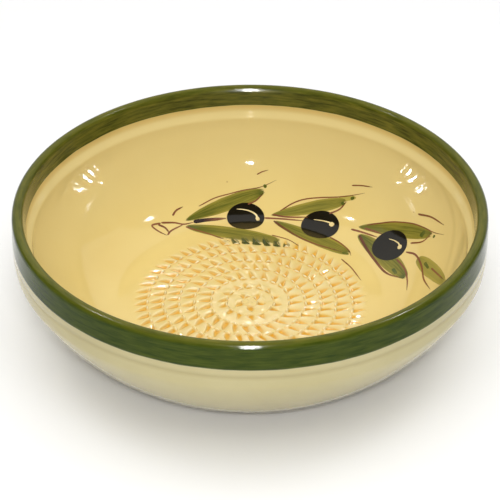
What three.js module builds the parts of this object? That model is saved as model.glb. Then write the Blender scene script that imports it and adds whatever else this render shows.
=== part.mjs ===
// A glazed earthenware grater bowl: a round hand-thrown bowl whose floor carries rings of
// sharp clay teeth, for grating garlic, ginger, tomato or cheese into oil.
// Millimetres, +Z up, origin on the table under the centre of the bowl.

import * as THREE from 'three';

// Driving dimensions of the bowl
const DIAMETER = 200; // across the collar, the widest place
const HEIGHT = 62; // table to the crest of the rim
const RIM_THICKNESS = 4.8; // the rounded lip
const RIM_INSET = 0.4; // the lip stands in from the collar by this much
const COLLAR_DEPTH = 20; // crest down to where the upright collar turns into the belly
const COLLAR_WALL = 8.2; // clay and glaze across the collar, below the inside ledge
const FLOOR_THICKNESS = 6.5; // inside floor down to the underside
const FOOT_DIAMETER = 120;
const FOOT_HEIGHT = 3;
const FOOT_WIDTH = 8; // across the ring that stands on the table
const FOOT_CHAMFER = 1.4; // both edges of the foot are wiped off at a slant

// How full the wall curves swell: lengths of the curves' handles
const BELLY_SWELL = 17.7; // outside, level at the foot
const SHOULDER_SWELL = 5; // outside, upright below the collar
const INSIDE_FLOOR_SWELL = 20; // inside, level at the floor
const INSIDE_WALL_SWELL = 13; // inside, upright below the ledge

// The two soft lines that the thrower's rib left under the rim
const CREASE_DROP = 15.3; // crest to the crease outside
const CREASE_WIDTH = 2;
const CREASE_DEPTH = 0.35;
const LEDGE_DROP = 11.8; // crest to the ledge inside
const LEDGE_HEIGHT = 2.7;
const LEDGE_WIDTH = 2.1;

// Glaze coats
const GLAZE = 0.4;
const BAND_OUTSIDE = 11.2; // crest to the green band's lower edge outside
const BAND_INSIDE = 8.4; // crest to the green band's lower edge inside
const BAND_FLARE = 0.6; // the lip thickens by this much down to the band's inside edge

// Grater field
const FIELD_DIAMETER = 101; // across the tails of the outermost teeth
const GRATER_BORDER = 1.5; // plain margin round the field, part of the toothed disc
const GRATER_SEAT = 3; // depth to which the toothed disc is bedded in the floor
const FLOOR_BORDER = 5; // smooth floor between the disc and the start of the wall's curve
const RING_PITCH = 6.9; // from one ring of teeth to the next
const TOOTH_PITCH = 4.6; // from tooth to tooth, along the crests of their burrs
const RING_GAP = 0.2; // bare clay between the burrs of one ring and the tails of the next
const HEART_RINGS = 2; // rings round the middle, whose teeth are short
const HEART_GAP = 2.7; // bare clay round each of those
const TOOTH_TILT = THREE.MathUtils.degToRad(22); // tails lean this far off the radius
const BURR_HEIGHT = 1.8;
const FURROW_DEPTH = 1;
const LIP_HEIGHT = 0.45; // clay pushed up along both sides of a furrow

// Facets
const SEGMENTS = 52; // round the bowl
const WALL_STEPS = 6;
const RIM_STEPS = 6;

// Places that the dimensions give
const radius = DIAMETER / 2;
const rimRadius = RIM_THICKNESS / 2;
const rimCentre = new THREE.Vector2(radius - RIM_INSET - rimRadius, HEIGHT - rimRadius);
const footRadius = FOOT_DIAMETER / 2;
const floorLevel = FOOT_HEIGHT + FLOOR_THICKNESS;
const fieldRadius = FIELD_DIAMETER / 2;
const discRadius = fieldRadius + GRATER_BORDER;
const seatLevel = floorLevel - GRATER_SEAT;

// The glazed outline is drawn as half of the bowl's section, in (radius, height), from the foot
// up the outside, over the rim and down the inside to the edge of the grater disc.

function wallOutside() {
  const foot = new THREE.Vector2(footRadius, FOOT_HEIGHT);
  const shoulder = new THREE.Vector2(radius, HEIGHT - COLLAR_DEPTH);
  const belly = new THREE.CubicBezierCurve(
    foot,
    new THREE.Vector2(foot.x + BELLY_SWELL, foot.y),
    new THREE.Vector2(shoulder.x, shoulder.y - SHOULDER_SWELL),
    shoulder,
  );
  const crease = HEIGHT - CREASE_DROP;
  return [
    ...belly.getPoints(WALL_STEPS),
    new THREE.Vector2(radius, crease - CREASE_WIDTH / 2),
    new THREE.Vector2(radius - CREASE_DEPTH, crease),
    new THREE.Vector2(radius, crease + CREASE_WIDTH / 2),
    new THREE.Vector2(radius, HEIGHT - BAND_OUTSIDE),
  ];
}

function overTheRim() {
  const lip = new THREE.EllipseCurve(rimCentre.x, rimCentre.y, rimRadius, rimRadius, 0, Math.PI);
  return [
    ...lip.getPoints(RIM_STEPS),
    new THREE.Vector2(rimCentre.x - rimRadius - BAND_FLARE, HEIGHT - BAND_INSIDE),
  ];
}

function wallInside() {
  const ledgeTop = new THREE.Vector2(radius - COLLAR_WALL + LEDGE_WIDTH, HEIGHT - LEDGE_DROP);
  const ledgeFoot = new THREE.Vector2(radius - COLLAR_WALL, ledgeTop.y - LEDGE_HEIGHT);
  const floorEdge = new THREE.Vector2(discRadius + FLOOR_BORDER, floorLevel);
  const wall = new THREE.CubicBezierCurve(
    ledgeFoot,
    new THREE.Vector2(ledgeFoot.x, ledgeFoot.y - INSIDE_WALL_SWELL),
    new THREE.Vector2(floorEdge.x + INSIDE_FLOOR_SWELL, floorEdge.y),
    floorEdge,
  );
  return [ledgeTop, ...wall.getPoints(WALL_STEPS), new THREE.Vector2(discRadius, floorLevel)];
}

// Moves an outline sideways, to its left, by the same distance all along.
function offsetOutline(points, distance) {
  return points.map((point, i) => {
    const before = points[Math.max(i - 1, 0)];
    const after = points[Math.min(i + 1, points.length - 1)];
    const arriving = point.clone().sub(i > 0 ? before : point).normalize();
    const leaving = after.clone().sub(i < points.length - 1 ? point : after).normalize();
    const along = arriving.clone().add(leaving).normalize();
    const leg = arriving.lengthSq() > 0 ? arriving : leaving;
    const stretch = distance / along.dot(leg);
    return new THREE.Vector2(point.x - along.y * stretch, point.y + along.x * stretch);
  });
}

const outside = wallOutside();
const rim = overTheRim();
const glazed = [...outside, ...rim, ...wallInside()];
const clay = offsetOutline(glazed, GLAZE);
const bandStart = outside.length - 1;
const bandEnd = bandStart + rim.length;

// Turns a closed section round the bowl's axis.
function revolve(section) {
  return new THREE.LatheGeometry(section, SEGMENTS).rotateX(Math.PI / 2);
}

// The clay bowl stands on a foot ring, and its floor has a round seat for the grater disc.
function bowlBody() {
  const footInside = footRadius - FOOT_WIDTH;
  return revolve([
    new THREE.Vector2(0, FOOT_HEIGHT),
    new THREE.Vector2(footInside, FOOT_HEIGHT),
    new THREE.Vector2(footInside, FOOT_CHAMFER),
    new THREE.Vector2(footInside + FOOT_CHAMFER, 0),
    new THREE.Vector2(footRadius - FOOT_CHAMFER, 0),
    new THREE.Vector2(footRadius, FOOT_CHAMFER),
    ...clay,
    new THREE.Vector2(discRadius, seatLevel),
    new THREE.Vector2(0, seatLevel),
  ]);
}

// One coat of glaze covers a stretch of the outline, from the clay out to the glazed surface.
function glazeCoat(first, last) {
  const face = glazed.slice(first, last + 1);
  const back = clay.slice(first, last + 1).reverse();
  return revolve([...face, ...back, face[0]]);
}

// Grater disc: closed rows of points, from the underside up its edge and in across its teeth.
// A point of a row has a radius, an angle and a height.

function plainRow(rowRadius, height) {
  return Array.from({ length: SEGMENTS }, (_, i) => ({
    radius: rowRadius,
    angle: (2 * Math.PI * i) / SEGMENTS - Math.PI / 2, // as a revolved section starts
    height,
  }));
}

// A tooth from its tail to behind its burr: a furrow that deepens inwards between two lips,
// and the burr of clay that the tool pushed up at its end. Heights are over the floor.
const CREST_ALONG = 0.87; // share of a tooth's length from its tail to its burr's crest
const TOOTH_SECTIONS = [
  { along: 0, centre: 0, side: 0 },
  { along: 0.4, centre: -FURROW_DEPTH / 2, side: LIP_HEIGHT },
  { along: 0.72, centre: -FURROW_DEPTH, side: LIP_HEIGHT },
  { along: CREST_ALONG, centre: BURR_HEIGHT, side: LIP_HEIGHT / 2 },
  { along: 1, centre: 0, side: 0 },
];

function toothRows(innerRadius, length) {
  const middle = innerRadius + length / 2;
  const crestRadius = innerRadius + length * (1 - CREST_ALONG);
  const count = Math.max(3, Math.round((2 * Math.PI * crestRadius) / TOOTH_PITCH));
  return TOOTH_SECTIONS.map(({ along, centre, side }) => {
    const rowRadius = innerRadius + length * (1 - along);
    const lean = (Math.tan(TOOTH_TILT) * (rowRadius - innerRadius)) / middle;
    return Array.from({ length: 2 * count }, (_, i) => ({
      radius: rowRadius,
      angle: (Math.PI * i) / count + lean,
      height: floorLevel + (i % 2 === 0 ? centre : side),
    }));
  });
}

function graterRows() {
  const axis = (height) => [{ radius: 0, angle: 0, height }];
  const rows = [axis(seatLevel), plainRow(discRadius, seatLevel), plainRow(discRadius, floorLevel)];
  const rings = Math.floor(fieldRadius / RING_PITCH);
  for (let ring = 1; ring <= rings; ring += 1) {
    const gap = ring > rings - HEART_RINGS ? HEART_GAP : RING_GAP;
    const burrFoot = fieldRadius - ring * RING_PITCH + RING_GAP;
    rows.push(...toothRows(burrFoot, RING_PITCH - gap));
  }
  rows.push(axis(floorLevel));
  return rows;
}

// Joins two neighbouring rows by triangles: it walks once round both and always takes its next
// step on the row that lags behind.
function stitch(outer, inner, firstOuter, firstInner) {
  const triangles = [];
  const turn = 2 * Math.PI;
  const angleOf = (row, i) => row[i % row.length].angle + turn * Math.floor(i / row.length);
  const away = (i) => Math.abs(angleOf(inner, i) - outer[0].angle);
  const ahead = (i) => Math.min(away(i), Math.abs(away(i) - turn));
  let start = 0;
  inner.forEach((_, i) => {
    if (ahead(i) < ahead(start)) start = i;
  });
  const lap = Math.round((angleOf(inner, start) - outer[0].angle) / turn) * turn;
  const outerSteps = outer.length > 1 ? outer.length : 0;
  const innerSteps = inner.length > 1 ? inner.length : 0;
  let i = 0;
  let j = 0;
  while (i < outerSteps || j < innerSteps) {
    const a = firstOuter + (i % outer.length);
    const b = firstInner + ((start + j) % inner.length);
    const outerLags = angleOf(outer, i + 1) <= angleOf(inner, start + j + 1) - lap;
    if (j === innerSteps || (i < outerSteps && outerLags)) {
      i += 1;
      triangles.push(a, firstOuter + (i % outer.length), b);
    } else {
      j += 1;
      triangles.push(a, firstInner + ((start + j) % inner.length), b);
    }
  }
  return triangles;
}

function graterDisc() {
  const rows = graterRows();
  const positions = [];
  const triangles = [];
  let first = 0;
  rows.forEach((row, i) => {
    row.forEach((p) => {
      positions.push(p.radius * Math.cos(p.angle), p.radius * Math.sin(p.angle), p.height);
    });
    if (i > 0) triangles.push(...stitch(rows[i - 1], row, first - rows[i - 1].length, first));
    first += row.length;
  });
  const geometry = new THREE.BufferGeometry();
  geometry.setAttribute('position', new THREE.Float32BufferAttribute(positions, 3));
  geometry.setIndex(triangles);
  geometry.computeVertexNormals();
  return geometry;
}

function piece(name, geometry, color, roughness) {
  const material = new THREE.MeshStandardMaterial({ color, roughness, metalness: 0 });
  const mesh = new THREE.Mesh(geometry, material);
  mesh.name = name;
  return mesh;
}

const bowl = new THREE.Group();
bowl.add(
  piece('bowl_body', bowlBody(), 0xc98f63, 0.8),
  piece('grater_disc', graterDisc(), 0xeed083, 0.15),
  piece('outside_glaze', glazeCoat(0, bandStart), 0xc8bc8e, 0.12),
  piece('rim_band', glazeCoat(bandStart, bandEnd), 0x4c5a28, 0.12),
  piece('inside_glaze', glazeCoat(bandEnd, glazed.length - 1), 0xefd286, 0.12),
);

export default bowl;
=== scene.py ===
# %% [markdown]
# # A grater bowl, dressed in clay, glaze and paint
# The real bowl is thrown on a wheel, its floor is pricked into rings of teeth, and it is then dipped in
# cream glaze, banded in green and painted with an olive sprig. This lesson follows the potter's order: the
# section of the wall, the turned coats, the teeth, the brushwork, and at the end the light. The solids of
# the bowl are loaded first as a fixed frame, and every piece made here is laid over one of them.

# %% Load the bowl's solids
import math

import bpy
import numpy as np
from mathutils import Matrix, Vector


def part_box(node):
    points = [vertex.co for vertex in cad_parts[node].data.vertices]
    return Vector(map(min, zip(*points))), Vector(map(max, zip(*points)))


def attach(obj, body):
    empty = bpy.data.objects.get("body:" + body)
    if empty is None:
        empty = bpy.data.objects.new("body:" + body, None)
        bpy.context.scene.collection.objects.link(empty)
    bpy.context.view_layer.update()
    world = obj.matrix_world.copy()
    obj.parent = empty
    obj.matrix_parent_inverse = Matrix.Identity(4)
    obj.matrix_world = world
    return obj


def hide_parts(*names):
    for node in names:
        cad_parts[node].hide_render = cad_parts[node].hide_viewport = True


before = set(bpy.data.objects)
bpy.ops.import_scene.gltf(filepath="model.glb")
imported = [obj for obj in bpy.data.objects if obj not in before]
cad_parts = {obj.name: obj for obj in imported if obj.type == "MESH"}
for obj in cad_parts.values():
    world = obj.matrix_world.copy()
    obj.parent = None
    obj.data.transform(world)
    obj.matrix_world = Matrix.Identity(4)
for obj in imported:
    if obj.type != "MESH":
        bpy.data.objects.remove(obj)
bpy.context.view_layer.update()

print("solids:", sorted(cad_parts))

# %% [markdown]
# Lengths are easier to read in millimetres, and Blender works in metres, so one value turns the first into
# the second. The main sizes come from the solids: the rim gives the bowl's radius and height, the lower
# edges of the green coat give the band, and the toothed disc gives the radius of the field on the floor.

# %% Sizes from the solids
MM = 0.001
GLAZE = 0.4 * MM  # thickness of a glaze coat

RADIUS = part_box("rim_band")[1].x
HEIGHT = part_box("rim_band")[1].z
BAND_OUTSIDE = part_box("rim_band")[0].z
BAND_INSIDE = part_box("inside_glaze")[1].z
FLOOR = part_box("inside_glaze")[0].z + GLAZE
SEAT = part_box("grater_disc")[0].z
DISC_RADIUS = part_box("grater_disc")[1].x
print(f"bowl {2 * RADIUS / MM:.0f} mm across, {HEIGHT / MM:.0f} mm high, floor at {FLOOR / MM:.1f} mm")

# %% [markdown]
# Most of the work here is done by nodes, and a few helpers keep it short. A wire is what one node hands on
# to the next, and a sum written on wires becomes Math nodes. The other helpers add one node with its
# options and inputs, and open a node group with named sockets. Without them every node would take four
# lines.

# %% Helpers for node trees
FLOAT = "NodeSocketFloat"
INT = "NodeSocketInt"
VECTOR = "NodeSocketVector"
GEOMETRY = "NodeSocketGeometry"
OBJECT = "NodeSocketObject"
MATERIAL = "NodeSocketMaterial"


class Wire:
    """What a node hands on to others; a sum written on it becomes a Math node in its tree."""

    def __init__(self, socket):
        self.socket = socket
        self.tree = socket.id_data

    def math(self, operation, *others):
        """One Math node on this wire and up to two more terms."""
        return add(self.tree, "ShaderNodeMath", dict(enumerate((self, *others))), operation=operation)

    def __add__(self, other):
        return self.math("ADD", other)

    def __sub__(self, other):
        return self.math("SUBTRACT", other)

    def __mul__(self, other):
        return self.math("MULTIPLY", other)

    def __truediv__(self, other):
        return self.math("DIVIDE", other)

    def __gt__(self, other):
        return self.math("GREATER_THAN", other)

    def __abs__(self):
        return self.math("ABSOLUTE")


def plug(value, socket):
    """Gives an input a value, or a link from a wire."""
    if isinstance(value, Wire):
        value.tree.links.new(value.socket, socket)
    else:
        socket.default_value = value


def add(tree, kind, sockets=None, out=0, **options):
    """Adds a node with those options and inputs; gives one of its outputs, or all by name if out is None."""
    made = tree.nodes.new(kind)
    for name, value in options.items():
        setattr(made, name, value)
    for name, value in (sockets or {}).items():
        plug(value, made.inputs[name])
    if out is None:
        return {socket.name: Wire(socket) for socket in made.outputs}
    return Wire(made.outputs[out])


def open_group(name, kind, inputs, outputs):
    """A new node group with named sockets; gives the group, wires from its inputs, and its output sockets."""
    group = bpy.data.node_groups.new(name, kind)
    for way, sockets in (("INPUT", inputs), ("OUTPUT", outputs)):
        for label, socket in sockets.items():
            group.interface.new_socket(label, in_out=way, socket_type=socket)
    given = {socket.name: Wire(socket) for socket in group.nodes.new("NodeGroupInput").outputs}
    return group, given, group.nodes.new("NodeGroupOutput").inputs


print("node helpers ready")

# %% [markdown]
# These few kinds of node come up again and again, in the trees that make shapes and in those that make
# colours: a vector taken apart or put together, a vector sum, a noise, and a value stretched from one range
# to another.

# %% Helpers for the commonest nodes
def parts(vector):
    """The three parts of a vector."""
    return list(add(vector.tree, "ShaderNodeSeparateXYZ", {0: vector}, out=None).values())


def combine(tree, x=0.0, y=0.0, z=0.0):
    """A vector of three parts."""
    return add(tree, "ShaderNodeCombineXYZ", {0: x, 1: y, 2: z})


def vector_sum(operation, vector, *others, out=0):
    """One Vector Math node."""
    terms = dict(enumerate((vector, *others)))
    return add(vector.tree, "ShaderNodeVectorMath", terms, out=out, operation=operation)


def flattened(where):
    """A place moved down to the level of the table."""
    return vector_sum("MULTIPLY", where, (1.0, 1.0, 0.0))


def from_axis(where):
    """The distance of a place from the bowl's axis."""
    return vector_sum("LENGTH", flattened(where), out="Value")


def noise(where, scale, detail=2.0, roughness=0.5, out=0):
    """A noise of that scale and detail."""
    sockets = {"Vector": where, "Scale": scale, "Detail": detail, "Roughness": roughness}
    return add(where.tree, "ShaderNodeTexNoise", sockets, out=out)


def spread(value, low, high, to_low=0.0, to_high=1.0):
    """Stretches a value from one range to another and clamps it there."""
    return add(value.tree, "ShaderNodeMapRange", {0: value, 1: low, 2: high, 3: to_low, 4: to_high})


print("helpers for the commonest nodes ready")

# %% [markdown]
# Every piece that Geometry Nodes make goes the same way: an empty object gets the tree as a modifier, the
# inputs are set by their identifiers, the result is read back as a plain mesh, and the modifier is taken
# off. A plain mesh can be saved, measured and printed anywhere, which a live tree can't. Every tree also
# ends the same way, with smooth faces, sharp edges where they are chosen, instances made real and the
# material set.

# %% From a tree to a plain mesh
def store(tree, geometry, name, value, domain="POINT"):
    """Stores a number on the geometry under a name."""
    sockets = {"Geometry": geometry, "Name": name, "Value": value}
    return add(tree, "GeometryNodeStoreNamedAttribute", sockets, data_type="FLOAT", domain=domain)


def read(tree, name):
    """The number stored on the geometry under a name."""
    return add(tree, "GeometryNodeInputNamedAttribute", {"Name": name}, data_type="FLOAT")


def bent_edges(tree, angle):
    """Chooses the edges whose faces meet at more than that angle."""
    bend = add(tree, "GeometryNodeInputMeshEdgeAngle", out="Unsigned Angle")
    return add(tree, "FunctionNodeCompare", {0: bend, 1: angle}, operation="GREATER_THAN")


def close_tree(tree, geometry, sharp, material, result):
    """Ends a tree: smooth but for the chosen edges, made real, with its material."""
    smooth = add(tree, "GeometryNodeSetShadeSmooth", {0: geometry}, domain="FACE")
    edges = {0: smooth, "Selection": sharp, "Shade Smooth": False}
    edged = add(tree, "GeometryNodeSetShadeSmooth", edges, domain="EDGE")
    real = add(tree, "GeometryNodeRealizeInstances", {"Geometry": edged})
    dressed = add(tree, "GeometryNodeSetMaterial", {"Geometry": real, "Material": material})
    plug(dressed, result["Geometry"])


def grow(name, tree, values, start=None):
    """Runs a tree on a mesh and keeps what comes out as a plain mesh object of that name."""
    piece = bpy.data.objects.new(name, start or bpy.data.meshes.new(name))
    bpy.context.scene.collection.objects.link(piece)
    modifier = piece.modifiers.new(tree.name, "NODES")
    modifier.node_group = tree
    for socket in tree.interface.items_tree:
        if socket.in_out == "INPUT" and socket.name in values:
            modifier[socket.identifier] = values[socket.name]
    graph = bpy.context.evaluated_depsgraph_get()
    grown = piece.evaluated_get(graph)
    mesh = bpy.data.meshes.new_from_object(grown, preserve_all_data_layers=True, depsgraph=graph)
    piece.modifiers.remove(modifier)
    piece.data = mesh
    mesh.name = name
    print(f"{name}: {len(mesh.vertices)} points, {len(mesh.polygons)} faces")
    return piece


def set_numbers(mesh, name, values):
    """Stores one number on each point of a mesh."""
    layer = mesh.attributes.new(name, "FLOAT", "POINT")
    layer.data.foreach_set("value", np.asarray(values, np.float32))


print("mesh helpers ready")

# %% [markdown]
# The wall is one line swept round the wheel. It rises from the foot in a full belly, has a shallow crease
# below the band, goes over a rounded lip, steps in at a small ledge inside and runs down in a long curve to
# the floor. Two curves and a few straight stretches say all of it. The melted glaze softens every corner,
# so the line is spaced evenly and each point is then averaged with its neighbours.

# %% The section of the wall
STEP = 0.25 * MM  # spacing of the section's points
SOFTNESS = 0.55 * MM  # reach over which the glaze rounds a corner
FOOT_RADIUS = 60 * MM
FOOT_HEIGHT = 3 * MM
BELLY_TOP = 42 * MM
BELLY_SWELL = 17.7 * MM
SHOULDER_SWELL = 5 * MM
CREASE = [(0, 45.7), (-0.35, 46.7), (0, 47.7)]  # mm, from the wall's radius and from the table
LIP_RADIUS = 2.4 * MM
LIP_INSET = 0.4 * MM
LIP_POINTS = 24
BAND_FLARE = 0.6 * MM
LEDGE = [(93.9, 50.2), (91.8, 47.5)]  # mm, its top and its foot
WALL_SWELL = 13 * MM
FLOOR_EDGE = 57 * MM
FLOOR_SWELL = 20 * MM


def curve(a, b, c, d, count=80):
    """Points of a cubic curve with ends a and d and handles b and c."""
    t = np.linspace(0, 1, count)[:, None]
    a, b, c, d = (np.array(p, float) for p in (a, b, c, d))
    return (1 - t) ** 3 * a + 3 * (1 - t) ** 2 * t * b + 3 * (1 - t) * t * t * c + t**3 * d


def lengths(line):
    """Distance along a line at each of its points."""
    return np.concatenate([[0], np.cumsum(np.hypot(*np.diff(line, axis=0).T))])


def even(line, step):
    """The same line with points an even step apart."""
    along = lengths(line)
    wanted = np.linspace(0, along[-1], int(round(along[-1] / step)) + 1)
    return np.stack([np.interp(wanted, along, line[:, k]) for k in (0, 1)], axis=1)


def soften(line, reach):
    """Averages each point with those within about that reach; the two ends stay."""
    half = int(3 * reach / STEP)
    weights = np.exp(-0.5 * (np.arange(-half, half + 1) * STEP / reach) ** 2)
    padded = np.vstack([2 * line[0] - line[half:0:-1], line, 2 * line[-1] - line[-2:-half - 2:-1]])
    return np.stack([np.convolve(padded[:, k], weights / weights.sum(), "valid") for k in (0, 1)], axis=1)


def wall_section():
    """The glazed face as (radius, height) points, from the foot, over the lip, to the edge of the teeth."""
    belly_handle = (FOOT_RADIUS + BELLY_SWELL, FOOT_HEIGHT)
    shoulder_handle = (RADIUS, BELLY_TOP - SHOULDER_SWELL)
    belly = curve((FOOT_RADIUS, FOOT_HEIGHT), belly_handle, shoulder_handle, (RADIUS, BELLY_TOP))
    crease = [(RADIUS + inward * MM, height * MM) for inward, height in CREASE]
    turn = np.linspace(0, math.pi, LIP_POINTS)
    lip_middle = np.array([RADIUS - LIP_INSET - LIP_RADIUS, HEIGHT - LIP_RADIUS])
    lip = lip_middle + LIP_RADIUS * np.stack([np.cos(turn), np.sin(turn)], axis=1)
    band_foot = (lip_middle[0] - LIP_RADIUS - BAND_FLARE, BAND_INSIDE)
    ledge = np.array(LEDGE) * MM
    wall_handle = ledge[-1] - (0, WALL_SWELL)
    inside = curve(ledge[-1], wall_handle, (FLOOR_EDGE + FLOOR_SWELL, FLOOR), (FLOOR_EDGE, FLOOR))
    outer = [belly, crease, [(RADIUS, BAND_OUTSIDE)], lip]
    inner = [[band_foot], ledge, inside[1:], [(DISC_RADIUS, FLOOR)]]
    return soften(even(np.vstack(outer + inner), STEP), SOFTNESS)


section = wall_section()
crown = int(section[:, 1].argmax())
outer_edge = int(np.abs(section[:crown, 1] - BAND_OUTSIDE).argmin())
inner_edge = crown + int(np.abs(section[crown:, 1] - BAND_INSIDE).argmin())
print(f"section: {len(section)} points, {lengths(section)[-1] / MM:.1f} mm long")

# %% [markdown]
# A turned piece could be made with the Screw modifier or with a spin. A tree does it here, because the tree
# also carries a measure along the section to the finished mesh, which the brushwork needs. It lays out a
# flat grid, one column for each step of the turn and one row for each point of the section, moves every
# grid point to its place and closes the seam by merging points that coincide.

# %% The tree that turns a section on the wheel
SEGMENTS = 256
SHARP = math.radians(40)  # edges bent by more than this stay sharp
SEAM = 0.002 * MM  # points nearer than this are one


def turn_about_axis(tree, where, angle):
    """A place turned round the bowl's axis."""
    return add(tree, "ShaderNodeVectorRotate", {"Vector": where, "Angle": angle}, rotation_type="Z_AXIS")


def turning_tree():
    """A tree that sweeps a section, a line of points in the XZ plane, once round the Z axis."""
    inputs = {"Section": OBJECT, "Segments": INT, "Sharp Angle": FLOAT, "Material": MATERIAL}
    outputs = {"Geometry": GEOMETRY}
    tree, given, result = open_group("turned on the wheel", "GeometryNodeTree", inputs, outputs)
    line = add(tree, "GeometryNodeObjectInfo", {"Object": given["Section"]}, out="Geometry")
    rows = add(tree, "GeometryNodeAttributeDomainSize", {"Geometry": line}, out="Point Count")
    counts = {"Vertices X": given["Segments"] + 1, "Vertices Y": rows}
    grid = add(tree, "GeometryNodeMeshGrid", counts, out="Mesh")
    index = add(tree, "GeometryNodeInputIndex")
    column = ((index + 0.5) / rows).math("FLOOR")
    row = index - column * rows
    angle = column / given["Segments"] * math.tau

    def at_row(value, kind):
        sockets = {"Geometry": line, "Value": value, "Index": row}
        return add(tree, "GeometryNodeSampleIndex", sockets, data_type=kind)

    point = at_row(add(tree, "GeometryNodeInputPosition"), "FLOAT_VECTOR")
    measured = store(tree, grid, "run", at_row(read(tree, "run"), "FLOAT"))
    there = turn_about_axis(tree, point, angle)
    moved = add(tree, "GeometryNodeSetPosition", {"Geometry": measured, "Position": there})
    closed = add(tree, "GeometryNodeMergeByDistance", {"Geometry": moved, "Distance": SEAM})
    close_tree(tree, closed, bent_edges(tree, given["Sharp Angle"]), given["Material"], result)
    return tree


def line_object(name, line):
    """A line of (radius, height) points as an object that a tree can read."""
    mesh = bpy.data.meshes.new(name)
    mesh.from_pydata([(r, 0, z) for r, z in line], [(k, k + 1) for k in range(len(line) - 1)], [])
    return bpy.data.objects.new(name, mesh)


def turned(name, line, run, material):
    """A piece turned from a section line that ends on the axis or closes on itself."""
    holder = line_object(name + "_section", line)
    set_numbers(holder.data, "run", run)
    values = {"Section": holder, "Segments": SEGMENTS, "Sharp Angle": SHARP, "Material": material}
    piece = grow(name, TURNING, values)
    bpy.data.objects.remove(holder)
    return piece


TURNING = turning_tree()
print("turning tree:", len(TURNING.nodes), "nodes")

# %% [markdown]
# A glaze coat is a thin closed shell. Its face is a stretch of the section and its back is the same
# stretch, moved in by the thickness of the glaze. The face needs close rows for clean reflections, the
# hidden back doesn't.

# %% Helpers for glaze coats
FACE_STRIDE = 2  # every second point of the section
BACK_STRIDE = 12


def normals(line):
    """Unit vectors to the left of a flat line, which is the clay's side of the section."""
    slope = np.gradient(line, axis=0)
    slope /= np.hypot(*slope.T)[:, None]
    return np.stack([-slope[:, 1], slope[:, 0]], axis=1)


def thinned(line, stride):
    """Points of a line, one in every stride, and its last point."""
    return line[list(range(0, len(line) - 1, stride)) + [len(line) - 1]]


def coat_outline(first, last, upwards=False):
    """The closed outline of the coat between two places of the section, with the run along it from its first
    place, or from its last one where the coat goes upwards to the band."""
    face = thinned(section[first:last + 1], FACE_STRIDE)
    back = thinned(glaze_back[first:last + 1], BACK_STRIDE)[::-1]
    run = np.concatenate([lengths(face), lengths(back)[-1] - lengths(back), [0]])
    if upwards:
        run = lengths(face)[-1] - run
    return np.vstack([face, back, face[:1]]), run


glaze_back = section + GLAZE * normals(section)
print(f"coats: {GLAZE / MM:.1f} mm thick, {len(section)} places along the section")

# %% [markdown]
# Glaze never lies as one flat colour: it clouds where it is thicker, it has a faint orange-peel ripple, and
# specks of iron burn through it. All the glazes share these effects, so they are one node group, placed in
# each material with its own scale. The group puts out masks, and each material chooses its own colours for
# them.

# %% The shared group for fired glaze
SPECK_SHARE = (0.92, 1.0)  # only the cells with so high a chance hold a speck
SPECK_SIZE = 0.07  # of a cell
SPECK_EDGE = 0.03
SPECK_COVER = 0.8
MIDDLE_NOISE = (0.3, 0.7)  # the range that most of a noise falls in


def fired_glaze_group():
    """Clouds, a fine ripple and sparse iron specks on Object coordinates."""
    inputs = {"Place": VECTOR, "Cloud Scale": FLOAT, "Ripple Scale": FLOAT, "Speck Scale": FLOAT}
    outputs = {"Cloud": FLOAT, "Ripple": FLOAT, "Speck": FLOAT}
    group, given, result = open_group("fired glaze", "ShaderNodeTree", inputs, outputs)
    where = given["Place"]
    plug(spread(noise(where, given["Cloud Scale"], 4.0, 0.55), *MIDDLE_NOISE), result["Cloud"])
    plug(noise(where, given["Ripple Scale"]), result["Ripple"])
    cells = add(group, "ShaderNodeTexVoronoi", {"Vector": where, "Scale": given["Speck Scale"]}, out=None)
    chance = add(group, "ShaderNodeSeparateColor", {0: cells["Color"]})
    inside = spread(chance, *SPECK_SHARE, 0.0, SPECK_SIZE) - cells["Distance"]
    plug(spread(inside, 0.0, SPECK_EDGE, 0.0, SPECK_COVER), result["Speck"])
    return group


FIRED_GLAZE = fired_glaze_group()
print("fired glaze group:", len(FIRED_GLAZE.nodes), "nodes")

# %% [markdown]
# Brushwork is the other shared effect. A loaded brush leaves streaks along the stroke, one for each clump
# of hairs, and the paint lies thicker in some places than in others. The group reads a stroke vector whose
# first two parts run along the stroke and whose third runs across it, so the same group serves the band and
# the leaves.

# %% The shared group for brush marks
STREAK_NOISE = (0.32, 0.68)
WASH_SCALE = 1.3


def brush_group():
    """Streaks along a stroke, and a slower wash of thick and thin paint."""
    inputs = {"Stroke": VECTOR, "Hairs": FLOAT}
    outputs = {"Streak": FLOAT, "Wash": FLOAT}
    group, given, result = open_group("brush marks", "ShaderNodeTree", inputs, outputs)
    x, y, across = parts(given["Stroke"])
    hairs = noise(combine(group, x, y, across * given["Hairs"]), 1.0, 4.0, 0.6)
    plug(spread(hairs, *STREAK_NOISE), result["Streak"])
    plug(spread(noise(given["Stroke"], WASH_SCALE), *MIDDLE_NOISE), result["Wash"])
    return group


BRUSH = brush_group()
print("brush group:", len(BRUSH.nodes), "nodes")

# %% [markdown]
# The green band is brushed on while the bowl turns, so its edges waver a little and its streaks run round
# the bowl. Both cream coats meet it, and the wavering edge lies on them, so the edge is a third shared
# group. It reads the run, the measured distance from the band that the turning tree stored on the mesh.

# %% The shared group for the band's edge
WAVER_SCALE = 60.0
EDGE_SOFTNESS = 0.25  # of the reach


def band_edge_group():
    """How far green paint strays over the edge of the band onto the cream, from 1 at the band to 0."""
    inputs = {"Place": VECTOR, "Run": FLOAT, "Reach": FLOAT}
    group, given, result = open_group("edge of the band", "ShaderNodeTree", inputs, {"Cover": FLOAT})
    limit = noise(given["Place"], WAVER_SCALE, 3.0) * given["Reach"]
    far = limit + given["Reach"] * EDGE_SOFTNESS
    plug(spread(given["Run"], limit, far, 1.0, 0.0), result["Cover"])
    return group


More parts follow.
